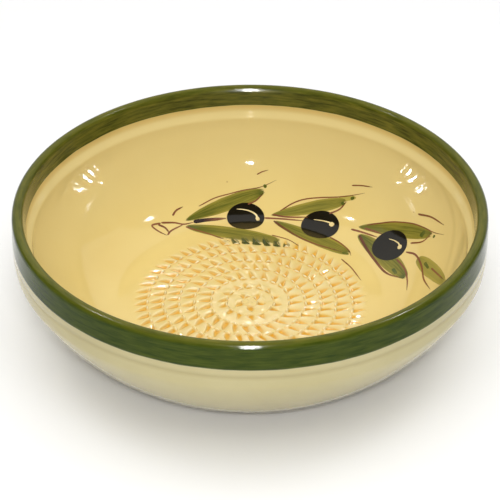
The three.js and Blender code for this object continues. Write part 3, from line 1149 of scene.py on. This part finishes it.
def laying_tree():
    """A tree that wraps flat work, drawn round the middle of the floor, onto the inside of the bowl."""
    inputs = {"Geometry": GEOMETRY, "Section": OBJECT, "Material": MATERIAL}
    tree, given, result = open_group("laid on the wall", "GeometryNodeTree", inputs, {"Geometry": GEOMETRY})
    line = add(tree, "GeometryNodeObjectInfo", {"Object": given["Section"]}, out="Geometry")
    wall = add(tree, "GeometryNodeMeshToCurve", {"Mesh": line})
    where = add(tree, "GeometryNodeInputPosition")
    x, y, lift = parts(where)
    at_reach = {"Curves": wall, "Length": from_axis(where)}
    found = add(tree, "GeometryNodeSampleCurve", at_reach, out=None, mode="LENGTH")
    normal = vector_sum("CROSS_PRODUCT", found["Tangent"], (0.0, 1.0, 0.0))
    raised = vector_sum("MULTIPLY_ADD", normal, lift, found["Position"])
    there = turn_about_axis(tree, raised, y.math("ARCTAN2", x))
    laid = add(tree, "GeometryNodeSetPosition", {"Geometry": given["Geometry"], "Position": there})
    welded = add(tree, "GeometryNodeMergeByDistance", {"Geometry": laid, "Distance": PLATE_SEAM})
    beside = add(tree, "GeometryNodeInputMeshEdgeNeighbors")
    bare = add(tree, "FunctionNodeCompare", {2: beside, 3: 0}, data_type="INT", operation="EQUAL")
    whole = add(tree, "GeometryNodeDeleteGeometry", {0: welded, 1: bare}, domain="EDGE", mode="EDGE_FACE")
    close_tree(tree, whole, bent_edges(tree, SHARP), given["Material"], result)
    return tree


def lay(name, plates, material):
    """Lays plates on the wall as a piece of that name."""
    return grow(name, LAYING, {"Section": wall_line, "Material": material}, plates.mesh(name))


LAYING = laying_tree()
inner_wall = np.vstack([[(0, FLOOR)], section[inner_edge:][::-1]])
wall_line = line_object("inner_wall", inner_wall)
print(f"laying tree: {len(LAYING.nodes)} nodes, wall {lengths(inner_wall)[-1] / MM:.1f} mm from the middle")

# %% [markdown]
# A leaf is a bent spine with a width that swells and narrows. Each is given in millimetres on the flat of
# the unrolled bowl: where it starts, the point that bends it, where it ends, how wide it is, how far along
# it is widest and how much paint the brush held; one faint stroke lies behind another leaf. The leaf that
# reaches over the teeth is cut off at the edge of the field, where the grater's own glaze carries its
# colour on.

# %% Leaves
LEAVES = [
    # start, bend, end, width, place of the greatest width, load of paint
    ((-29.8, 60.4), (-12, 70.9), (7, 78.0), 7.8, 0.60, 1.0),
    ((-29.5, 57.2), (-8, 53), (13.5, 46.5), 9.4, 0.56, 1.0),
    ((40, 68.4), (46, 68.2), (51, 66.8), 2.8, 0.50, 0.0),
    ((9.6, 65.4), (28, 67.4), (46, 66.8), 6.9, 0.60, 0.8),
    ((11, 62), (29, 49), (44.8, 36.4), 9.2, 0.60, 0.9),
    ((50, 52.2), (69.6, 42.2), (86.4, 28.0), 7.6, 0.58, 0.9),
    ((49.4, 48), (60, 32), (69.2, 13), 9.2, 0.55, 1.0),
    ((76, 21.4), (83, 6.5), (88.6, -9.5), 7.4, 0.42, 0.5),
]
LEAF_LIFT = 0.04 * MM
LEAF_STEPS = 44
LEAF_COLUMNS = 13
LEAF_REACH = (0.003, 0.997)  # a leaf stops a hair short of its spine's ends
LEAF_LAP = 1.2  # mm, how far a leaf laps over the edge of the toothed disc
LEAF_BLUNTNESS = 0.44


def spine(start, bend, end, t):
    """Points of a bent stroke at shares t of its way."""
    t = np.asarray(t)[:, None]
    start, bend, end = (np.array(p, float) for p in (start, bend, end))
    through = 2 * bend - (start + end) / 2
    return (1 - t) ** 2 * start + 2 * (1 - t) * t * through + t * t * end


def leaf_half_width(t, width, widest):
    """Half the leaf's width along its spine, round at both ends."""
    skewed = np.asarray(t) ** (math.log(0.5) / math.log(widest))
    return width / 2 * np.sin(math.pi * np.clip(skewed, 0, 1)) ** LEAF_BLUNTNESS


leaf_plates = Plates()
along = np.linspace(*LEAF_REACH, LEAF_STEPS)
for start, bend, end, width, widest, load in LEAVES:
    half = leaf_half_width(along, width, widest)
    grid, uv = stroke_plate(spine(start, bend, end, along), along, half, LEAF_COLUMNS)
    out = np.hypot(grid[..., 0], grid[..., 1])
    grid *= (np.maximum(out, DISC_RADIUS / MM - LEAF_LAP) / out)[..., None]
    leaf_plates.add(grid * MM, uv, LEAF_LIFT * (0.6 + 0.4 * load), load)
print(f"leaves: {len(LEAVES)}, {len(leaf_plates.faces)} faces")

# %% [markdown]
# Leaf paint is olive green, dragged along the leaf: darker where the brush first touches and along the
# middle, thin and yellow at the far edges, with ragged sides where single hairs run out. The ragged edge is
# a mask on Alpha, so the cream glaze shows through it.

# %% Leaf paint
PAINT_SPECKS = 200.0


def leaf_paint():
    """Brushed olive green with ragged, thinner sides."""
    finish = Finish("leaf_paint", 80.0, PAINT_SPECKS, Roughness=0.1, Specular_IOR_Level=0.45)
    along, across, _ = parts(finish.uv())
    stroke = combine(finish.tree, along * 2.2, noise(finish.where, 18.0) * 5.0, across)
    brushed = finish.group(BRUSH, Stroke=stroke, Hairs=11.0)
    body = blend(brushed["Streak"], rgb(0.062, 0.080, 0.010), rgb(0.265, 0.230, 0.034))
    side = abs(across * 2 - 1)
    tip = abs(along * 2 - 1)
    thin = spread(side, 0.45, 1.0) * spread(brushed["Wash"], 0, 1, 0.5, 1)
    edged = blend(thin, body, rgb(0.36, 0.29, 0.045))
    start = spread(along, 0.0, 0.35, 0.75, 0.0)
    ends = start.math("MAXIMUM", spread(along, 0.86, 0.97, 0.0, 0.9))
    loaded = blend(ends * spread(side, 0.3, 0.9, 1.0, 0.2), edged, rgb(0.075, 0.090, 0.012))
    clouded = blend(spread(finish.cloud, 0, 1, 0, 0.3), loaded, rgb(0.6, 0.65, 0.4), "MULTIPLY")
    finish.feed("Base Color", blend(finish.stored("load"), rgb(0.44, 0.36, 0.075), clouded))
    ragged = brushed["Streak"] * -0.12 - side.math("MAXIMUM", tip) + 1.06
    finish.feed("Alpha", spread(ragged, 0.0, 0.07))
    finish.bump(finish.ripple)
    return finish.material


painted_leaves = lay("painted_leaves", leaf_plates, leaf_paint())

# %% [markdown]
# The leaf that crosses onto the teeth colours them too. For each point of the grater field, the nearest
# place on the leaf's spine tells whether the point lies within the leaf's width there. The burrs stand up
# and scrape paint off the brush, and some of it runs into the furrows behind them, so those within a second
# stroke, along the leaf's lower side and past its tip, are thick and dark.

# %% The leaf on the teeth
BURR_STROKE = ((-12, 46.8), (4, 45.8), (18, 42.6), 6.5, 0.5, 1.0)
SPINE_STEPS = 120
COVER_EDGE = 0.5  # mm, the width of the cover's soft edge
LEAST_MOVED = 0.25  # burrs and furrows begin where this much of the glaze ran off or pooled


def leaf_cover(leaf, x, y):
    """How much of each flat point, in mm, lies under a leaf, from 0 to 1, with a soft edge."""
    start, bend, end, width, widest, _ = leaf
    t = np.linspace(0, 1, SPINE_STEPS)
    line = spine(start, bend, end, t)
    off = np.hypot(x[:, None] - line[:, 0], y[:, None] - line[:, 1])
    nearest = off.argmin(axis=1)
    gap = leaf_half_width(t, width, widest)[nearest] - off[np.arange(len(x)), nearest]
    return np.clip(gap / COVER_EDGE + 0.5, 0, 1)


def stored(piece, name, size=1):
    """The numbers stored on a piece's points under a name, or the vectors if the size is 3."""
    values = np.zeros(len(piece.data.vertices) * size, np.float32)
    piece.data.attributes[name].data.foreach_get("vector" if size > 1 else "value", values)
    return values.reshape(-1, size) if size > 1 else values


flat_x, flat_y, _ = stored(grater_field, "position", 3).T / MM
moved = np.maximum(stored(grater_field, "thin"), stored(grater_field, "pool"))
burr = np.clip((moved - LEAST_MOVED) / LEAST_MOVED, 0, 1)
covers = {
    "leaf": leaf_cover(LEAVES[1], flat_x, flat_y),
    "dab": burr * leaf_cover(BURR_STROKE, flat_x, flat_y),
}
for name, cover in covers.items():
    set_numbers(grater_field.data, name, cover)
    print(f"{name} on the teeth: {int((cover > 0.5).sum())} points covered")

# %% [markdown]
# The olives are ovals of near-black paint, brushed round and round, a little browner where the paint thins
# at the edge, and thick enough to stand up a little. The clear glaze over them mirrors the room, which is
# what lightens their lower part. The ovals are rings of points, which a polar grid gives.

# %% Olives
OLIVES = [
    # middle, length, breadth, turn in degrees
    ((-2, 64.3), 17.6, 16.4, 0),
    ((32.3, 57), 18.2, 16.4, -24),
    ((63.8, 36), 18.4, 16.2, -38),
]
OLIVE_LIFT = 0.065 * MM
OLIVE_DOME = 0.03 * MM  # how far the middle stands above the edge
OLIVE_RINGS = 9
OLIVE_SPOKES = 48


def turning(degrees):
    """The matrix that turns flat rows of points by that angle."""
    c, s = math.cos(math.radians(degrees)), math.sin(math.radians(degrees))
    return np.array([[c, s], [-s, c]])


def olive_height(share):
    """The height of an olive's face at a share of the way from its middle to its edge."""
    return OLIVE_LIFT + OLIVE_DOME * np.clip(1 - np.asarray(share) ** 2, 0, 1)


olive_plates = Plates()
for middle, long_way, short_way, turn in OLIVES:
    angle = np.linspace(0, math.tau, OLIVE_SPOKES, endpoint=False)[:, None]
    share = np.linspace(1, 0, OLIVE_RINGS)
    ring = np.stack([np.cos(angle) * share, np.sin(angle) * share], axis=2)
    grid = np.array(middle) + ring * np.array([long_way / 2, short_way / 2]) @ turning(turn)
    olive_plates.add(grid * MM, (ring + 1) / 2, olive_height(share), 1.0, closed=True)
print(f"olives: {len(OLIVES)}")

# %% [markdown]
# The olives' paint is laid on so thick that it hardly streaks. Only its last half millimetre thins to
# brown, and a mask on Alpha trims it there, as on the leaves.

# %% Olive paint
def olive_paint():
    """Near-black paint with faint brush marks and a brown edge where it is thin."""
    finish = Finish("olive_paint", 90.0, PAINT_SPECKS, Roughness=0.08, Specular_IOR_Level=0.6)
    uv = finish.uv()
    out = vector_sum("LENGTH", vector_sum("SUBTRACT", uv, (0.5, 0.5, 0.0)), out="Value")
    brushed = finish.group(BRUSH, Stroke=vector_sum("MULTIPLY", uv, (2.0, 0.0, 2.0)), Hairs=4.0)
    body = blend(brushed["Wash"], rgb(0.0085, 0.0070, 0.0035), rgb(0.0120, 0.0095, 0.0045))
    streaked = blend(spread(brushed["Streak"], 0, 1, 0, 0.3), body, rgb(0.017, 0.013, 0.006))
    finish.feed("Base Color", blend(spread(out, 0.475, 0.5, 0.0, 0.5), streaked, rgb(0.08, 0.045, 0.018)))
    finish.feed("Alpha", spread(out, 0.488, 0.5, 1.0, 0.0))
    finish.bump(finish.ripple)
    return finish.material


painted_olives = lay("painted_olives", olive_plates, olive_paint())

# %% [markdown]
# Fine lines are drawn with a liner dipped in brown: they start full, thin out and lift off. They give the
# stem, run beside the leaves without quite following their edges, and stray past the tips. Each line is a
# smooth curve through a few given points, with a width at its start and at its end.

# %% Lines
LINES = [
    # width at the start and at the end in mm, then the points that the line goes through
    (1, 0.72, (-41, 57), (-35, 58.3), (-30.5, 58.2), (-26, 60)),
    (2.3, 1.6, (-26, 60.2), (-20, 62), (-11, 63.6)),
    (0.92, 0.7, (-41.3, 56.7), (-45.2, 54.4), (-42, 52), (-37.8, 50.2)),
    (0.92, 0.64, (-37.6, 50.5), (-36, 53.5), (-30.5, 58.2)),
    (1.1, 0.8, (-42.3, 55.6), (-39, 54.6), (-36.8, 51.8)),
    (1, 0.72, (-36, 62), (-34.5, 65), (-31.5, 67.5)),
    (0.57, 0.4, (-24, 69), (-17, 73.8), (-10, 76.5), (-3, 78.6), (5, 80), (13, 83)),
    (0.8, 0.56, (-1, 71.6), (3, 73.6), (6.4, 77.2)),
    (0.92, 0.64, (-29.5, 56.8), (-21.5, 53.8), (-14, 49.4), (-9, 46.2)),
    (0.69, 0.48, (10, 51.4), (17, 48), (22, 43)),
    (0.6, 0.4, (3.4, 86), (6, 87.2), (9.2, 87.9)),
    (1, 0.72, (6.6, 64), (15, 63), (25, 61)),
    (0.69, 0.48, (14, 67.6), (20, 70.9), (26, 72.2), (34, 71.6), (44, 69.6), (56, 67.6)),
    (1, 0.72, (10.5, 65.8), (17, 64), (27, 62.8)),
    (0.92, 0.64, (37, 62.8), (42, 63.8), (46, 66.6)),
    (1.3, 0.89, (11, 62), (17, 55.4), (23, 49.2), (30, 44), (36, 40.8), (41.5, 38)),
    (0.8, 0.56, (36.5, 49.2), (41, 44.6), (44.6, 39), (45.4, 35)),
    (0.69, 0.48, (41, 32.4), (45.2, 25.4), (49, 15.8)),
    (0.65, 0.5, (50, 73.4), (55, 71.6), (60.5, 68.8)),
    (1, 0.72, (46.5, 52), (52, 48.4), (58.4, 43.4)),
    (0.69, 0.48, (54, 51.8), (60.5, 50.2), (68, 47.4), (77, 41.4), (83.2, 34.6), (87.5, 28.6), (93.5, 21.5)),
    (0.92, 0.64, (53, 50.4), (57, 47.4), (61, 44)),
    (0.8, 0.56, (74, 32), (80.5, 28.6), (86.5, 29)),
    (0.92, 0.64, (81.5, 43.8), (88.6, 36.8), (95, 26.4)),
    (1.4, 0.97, (50, 47.4), (52.6, 39), (56, 30), (60.4, 20.4), (67.4, 13.8)),
    (0.92, 0.64, (66, 27), (69, 19.2), (69.6, 12), (68.8, 4.6)),
    (1, 0.72, (71, 28.6), (75.4, 24), (77.4, 16), (77.6, 6), (80.2, -4)),
    (0.92, 0.64, (82.4, 9.6), (86, 0.6), (88.2, -5.4)),
]
LINE_LIFT = 0.09 * MM
LINE_SPACING = 0.5  # mm between the points of a line
LINE_COLUMNS = 3
FULL_WIDTH = 2.0  # mm, a line this wide holds all the paint that the liner can carry
CURVE_POINTS = 20  # on each stretch between two given points
EARLY_TOUCH = 0.02  # the liner is already pressed a little where a line starts
PRESS_RATE = 12.0
LIFT_OFF = 1.015  # the liner leaves the wall a little past the line's end
LEAST_PRESS = 0.02


def smooth_line(points, spacing):
    """An even curve through the given flat points, with the tangents of a Catmull-Rom spline."""
    points = np.array(points, float)
    padded = np.vstack([2 * points[0] - points[1], points, 2 * points[-1] - points[-2]])
    pieces = []
    for before, here, there, after in zip(padded, padded[1:], padded[2:], padded[3:]):
        handles = (here + (there - before) / 6, there - (after - here) / 6)
        pieces.append(curve(here, *handles, there, CURVE_POINTS))
    whole = np.vstack([pieces[0]] + [piece[1:] for piece in pieces[1:]])
    return even(whole, spacing)


def draw_line(plates, start_width, end_width, points, lift, fade=0.7, load=0.0):
    """Adds one drawn line to the plates, round at its start and lifted off at its end; the lift is a height
    or a function of the flat points."""
    line = smooth_line(points, LINE_SPACING)
    t = np.linspace(0, 1, len(line))
    press = np.minimum((t + EARLY_TOUCH) * PRESS_RATE, (LIFT_OFF - t) / (1 - fade))
    width = start_width + (end_width - start_width) * t
    half = width / 2 * np.sqrt(np.clip(press, LEAST_PRESS, 1))
    grid, uv = stroke_plate(line, t, half, LINE_COLUMNS)
    plates.add(grid * MM, uv, lift(grid) if callable(lift) else lift, load)


line_plates = Plates()
for start_width, end_width, *points in LINES:
    draw_line(line_plates, start_width, end_width, points, LINE_LIFT, load=min(1, start_width / FULL_WIDTH))
print(f"lines: {len(LINES)}, {len(line_plates.faces)} faces")

# %% [markdown]
# Line paint is red-brown. A line that holds much paint starts nearly black, and every line pales and turns
# a little see-through towards the end where the liner lifts off.

# %% Line paint
def line_paint():
    """Red-brown liner, thick and dark where it starts and thin towards its end."""
    finish = Finish("line_paint", 120.0, PAINT_SPECKS, Roughness=0.12, Specular_IOR_Level=0.5)
    along, across, _ = parts(finish.uv())
    brushed = finish.group(BRUSH, Stroke=combine(finish.tree, along * 4.0, 0.0, across), Hairs=2.0)
    drained = spread(along, 0, 1, 0.2, 1.0) * brushed["Wash"]
    body = blend(drained, rgb(0.21, 0.070, 0.030), rgb(0.34, 0.135, 0.055))
    uneven = blend(spread(finish.cloud, 0, 1, 0, 0.4), body, rgb(0.08, 0.028, 0.013))
    full = spread(finish.stored("load"), 0.5, 0.9) * spread(along, 0.3, 0.9, 1, 0)
    finish.feed("Base Color", blend(full, uneven, rgb(0.022, 0.009, 0.005)))
    finish.feed("Alpha", spread(along, 0.55, 1.0, 1.0, 0.65))
    finish.bump(finish.ripple)
    return finish.material


painted_lines = lay("painted_lines", line_plates, line_paint())

# %% [markdown]
# Two small things finish the sprig: dark green dabs at the tips of the leaves, where the brush was pressed
# once more, and the highlights on the olives, scraped through the wet paint with a stick so that cream
# shows in a thin curve that ends in a blob. Both are drawn as short lines, and the dabs and blobs are wide
# for their length.

# %% Dabs and scraped highlights
DABS = [
    (2.0, 1.6, (6.6, 80), (8, 80.8)),
    (1.5, 1.1, (4.4, 76.4), (6.4, 78)),
    (1.6, 1.4, (48.2, 67.2), (50.2, 67.4)),
    (1.6, 1.2, (43.4, 66.8), (44.8, 65.4)),
    (1.7, 1.3, (41.6, 37.6), (44.4, 36)),
    (2.6, 2.2, (79.8, 32), (83, 33)),
    (1.6, 1.4, (86.8, 26.8), (87.8, 25.6)),
    (1.7, 1.5, (63.6, 22), (64.9, 18)),
    (1.8, 1.4, (66.6, 15.6), (68.4, 13.6)),
    (1.6, 1.2, (79.4, 16), (80.8, 11)),
]
GLINTS = [
    (0.35, 1.0, (-6.2, 69), (-3.1, 68.8), (0.1, 67.9), (2.6, 66.1), (3.6, 63.8)),
    (1.7, 1.7, (3.2, 64.6), (3.9, 62.4)),
    (0.3, 0.8, (29.5, 61), (32.9, 59.9), (36.1, 58.4), (37.6, 57)),
    (2.3, 2.1, (36.9, 57.7), (38.4, 55.9)),
    (0.3, 0.7, (63.7, 40.2), (66.1, 38), (67.9, 35.6), (68.4, 33.6)),
    (2.1, 2.1, (68.5, 34.2), (68.1, 32)),
]
GLINT_LIFT = 0.02 * MM  # above the olive's face


def over_olives(flat):
    """The height just above the olives' faces at flat points in mm."""
    shares = [
        np.linalg.norm((flat - middle) @ turning(-turn) / (long_way / 2, short_way / 2), axis=-1)
        for middle, long_way, short_way, turn in OLIVES
    ]
    return olive_height(np.min(shares, axis=0)) + GLINT_LIFT


dab_plates = Plates()
for start_width, end_width, *points in DABS:
    draw_line(dab_plates, start_width, end_width, points, LINE_LIFT, fade=0.9)
glint_plates = Plates()
for start_width, end_width, *points in GLINTS:
    draw_line(glint_plates, start_width, end_width, points, over_olives, fade=0.93)


def thick_paint(name, one, other):
    """Thick paint that clouds from one colour to another."""
    finish = Finish(name, 300.0, PAINT_SPECKS, Roughness=0.1, Specular_IOR_Level=0.55)
    finish.feed("Base Color", blend(finish.cloud, one, other))
    finish.bump(finish.ripple)
    return finish.material


DAB_GREENS = (rgb(0.06, 0.085, 0.014), rgb(0.13, 0.135, 0.02))
BARE_CREAMS = (rgb(0.86, 0.72, 0.38), rgb(0.66, 0.50, 0.20))
painted_dabs = lay("painted_dabs", dab_plates, thick_paint("dab_paint", *DAB_GREENS))
olive_glints = lay("olive_glints", glint_plates, thick_paint("scraped_cream", *BARE_CREAMS))
bpy.data.objects.remove(wall_line)

# %% [markdown]
# The camera looks down into the bowl from the front with a long lens, as in the photograph. The long lens
# keeps the near and the far side of the rim almost the same size.

# %% Camera
CAMERA_PLACE = (0, -665.3 * MM, 498.0 * MM)
CAMERA_PITCH = math.radians(55.274)
CAMERA_LENS = 136.66

camera = bpy.data.objects.new("camera", bpy.data.cameras.new("camera"))
camera.data.lens = CAMERA_LENS
camera.data.sensor_width = 36
camera.location = CAMERA_PLACE
camera.rotation_euler = (CAMERA_PITCH, 0, 0)
bpy.context.scene.collection.objects.link(camera)
bpy.context.scene.camera = camera
print("camera placed")

# %% [markdown]
# Every light here is a rectangular lamp that faces the bowl. In a photograph of glaze, the light that
# colours the bowl and the light that it mirrors are two different tasks, so a fill is kept out of the gloss
# and a spark is seen in the gloss alone. A lamp can also be linked to one piece, which it then lights
# alone.

# %% Helpers for lamps
BOWL_MIDDLE = Vector((0, 0, HEIGHT / 2))
FILL = {"in_gloss": False}
SPARK = {"in_matt": False}


def lamp(name, where, size, power, in_gloss=True, in_matt=True, only=None, facing=BOWL_MIDDLE, beam=math.pi):
    """A rectangular light that faces the bowl and lights all of it, or one piece alone.

    A fill is kept out of the gloss, and a spark is seen in the gloss alone.
    """
    light = bpy.data.lights.new(name, "AREA")
    light.shape = "RECTANGLE"
    light.size, light.size_y = size
    light.energy = power
    light.spread = beam
    holder = bpy.data.objects.new(name, light)
    holder.location = where
    holder.rotation_euler = (facing - holder.location).to_track_quat("-Z", "Y").to_euler()
    holder.visible_camera = False
    holder.visible_glossy = in_gloss
    holder.visible_diffuse = in_matt
    if only:
        holder.light_linking.receiver_collection = bpy.data.collections.new(name)
        holder.light_linking.receiver_collection.objects.link(only)
    bpy.context.scene.collection.objects.link(holder)


print("lamp helpers ready")

# %% [markdown]
# The matt light comes from a wide soft panel overhead, with weaker fills at the front, beside the camera
# and at both sides. The glaze mirrors a pale panel behind the bowl and a few sparks, some of them linked to
# the lip or to the teeth. The spark beside the camera is also mirrored from wall to wall, which takes far
# too many samples to find. Tiny lamps stand for that second reflection: each lies on the camera's ray after
# the wall has mirrored it.

# %% Light
BESIDE_CAMERA = (0, -0.67, 0.53)
WALL_SPARKS = [
    # place of a lamp and the spot on the right wall that mirrors it, then its width and height, all in mm
    ((50.8, 57.6, 37.8), (70.3, 58.1, 42.5), 0.2, 0.05),
    ((51.5, 55.9, 37.5), (71.3, 55.9, 40.2), 0.4, 0.08),
    ((52.5, 54.2, 36.8), (72.4, 53.4, 38.1), 0.4, 0.08),
    ((54.9, 51.6, 35.9), (74.7, 49.0, 36.6), 0.2, 0.05),
    ((55.3, 50.8, 35.6), (75.1, 47.8, 35.8), 0.3, 0.06),
    ((47.3, 55.8, 36.3), (67.1, 57.3, 34.0), 0.2, 0.05),
]
WALL_SPARK_POWER = 60.0  # watts for each square metre of the lamp
WALL_SPARK_BEAM = math.radians(24)

lamp("overhead", (0, -0.15, 1.3), (1.4, 1.4), 10.0, **FILL)
lamp("front_fill", (0, -0.8, 1.2), (1.2, 1.2), 1.2, **FILL)
lamp("camera_fill", BESIDE_CAMERA, (0.2, 0.1), 2.8, **FILL)
lamp("backdrop", (0, 1.02, 0.75), (3.2, 1.9), 10.6)
lamp("camera_spark", BESIDE_CAMERA, (0.018, 0.015), 2.0, **SPARK)
lamp("crest_spark", (0, -0.9, 0.50), (0.08, 1.0), 54.0, only=green_rim, **SPARK)
lamp("teeth_spark", (0, 0.08, 0.9), (0.045, 0.045), 4.0, only=grater_field, **SPARK)
lamp("right_spark", (0.6, 0, 0.7), (0.04, 0.04), 2.5, only=grater_field, **SPARK)
lamp("back_spark", (0, 0.74, 0.61), (0.008, 0.008), 0.06, only=grater_field, **SPARK)
wall_spark = {"only": cream_inside, "beam": WALL_SPARK_BEAM, **SPARK}
for side in (-1, 1):
    to_side = Vector((side * MM, MM, MM))
    for number, (where, spot, wide, high) in enumerate(WALL_SPARKS):
        size = (wide * MM, high * MM)
        power = WALL_SPARK_POWER * size[0] * size[1]
        facing = Vector(spot) * to_side
        lamp(f"wall_spark_{side}_{number}", Vector(where) * to_side, size, power, facing=facing, **wall_spark)
    beside = (0.46 * side, 0.12, 0.76)
    lamp(f"side_fill_{side}", beside, (0.3, 0.3), 0.45, **FILL)
    lamp(f"side_spark_{side}", beside, (0.036, 0.036), 1.4, **SPARK)
print("lamps:", len(bpy.data.lights))

# %% [markdown]
# The bowl stands on a plain floor, nearly white, and a dim pale background fills the shadows. The
# background is kept out of the gloss, where it would veil what the glaze mirrors.

# %% Floor and background
world = bpy.data.worlds.new("studio")
bpy.context.scene.world = world
world.use_nodes = True
world.node_tree.nodes["Background"].inputs["Color"].default_value = (1.0, 0.99, 0.97, 1.0)
world.node_tree.nodes["Background"].inputs["Strength"].default_value = 0.25
world.cycles_visibility.glossy = False

FLOOR_SIZE = 6.0
half = FLOOR_SIZE / 2
corners = [(-half, -half, 0), (half, -half, 0), (half, half, 0), (-half, half, 0)]
floor_mesh = bpy.data.meshes.new("floor")
floor_mesh.from_pydata(corners, [], [(0, 1, 2, 3)])
floor = bpy.data.objects.new("floor", floor_mesh)
bpy.context.scene.collection.objects.link(floor)
floor_material, _ = principled("floor", Roughness=0.7, Base_Color=rgb(0.96, 0.96, 0.955))
floor_mesh.materials.append(floor_material)
bpy.context.scene.view_settings.view_transform = "Standard"
print("floor and background set")

# %% [markdown]
# The table below lists each piece with the finish of the record and the solids it stands for. The last step
# ties each piece to the bowl's body and hides those solids.

# %% Tie the pieces to the bowl
STANDS_FOR = [
    (clay_body, "clay", ["bowl_body"]),
    (grater_field, "grater_glaze", ["grater_disc"]),
    (cream_outside, "cream_outside", ["outside_glaze"]),
    (green_rim, "green_band", ["rim_band"]),
    (cream_inside, "cream_inside", ["inside_glaze"]),
    (painted_leaves, "cream_inside", []),
    (painted_olives, "cream_inside", []),
    (painted_lines, "cream_inside", []),
    (painted_dabs, "cream_inside", []),
    (olive_glints, "cream_inside", []),
]
for piece, slot, nodes in STANDS_FOR:
    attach(piece, "root")
    if nodes:
        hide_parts(*nodes)
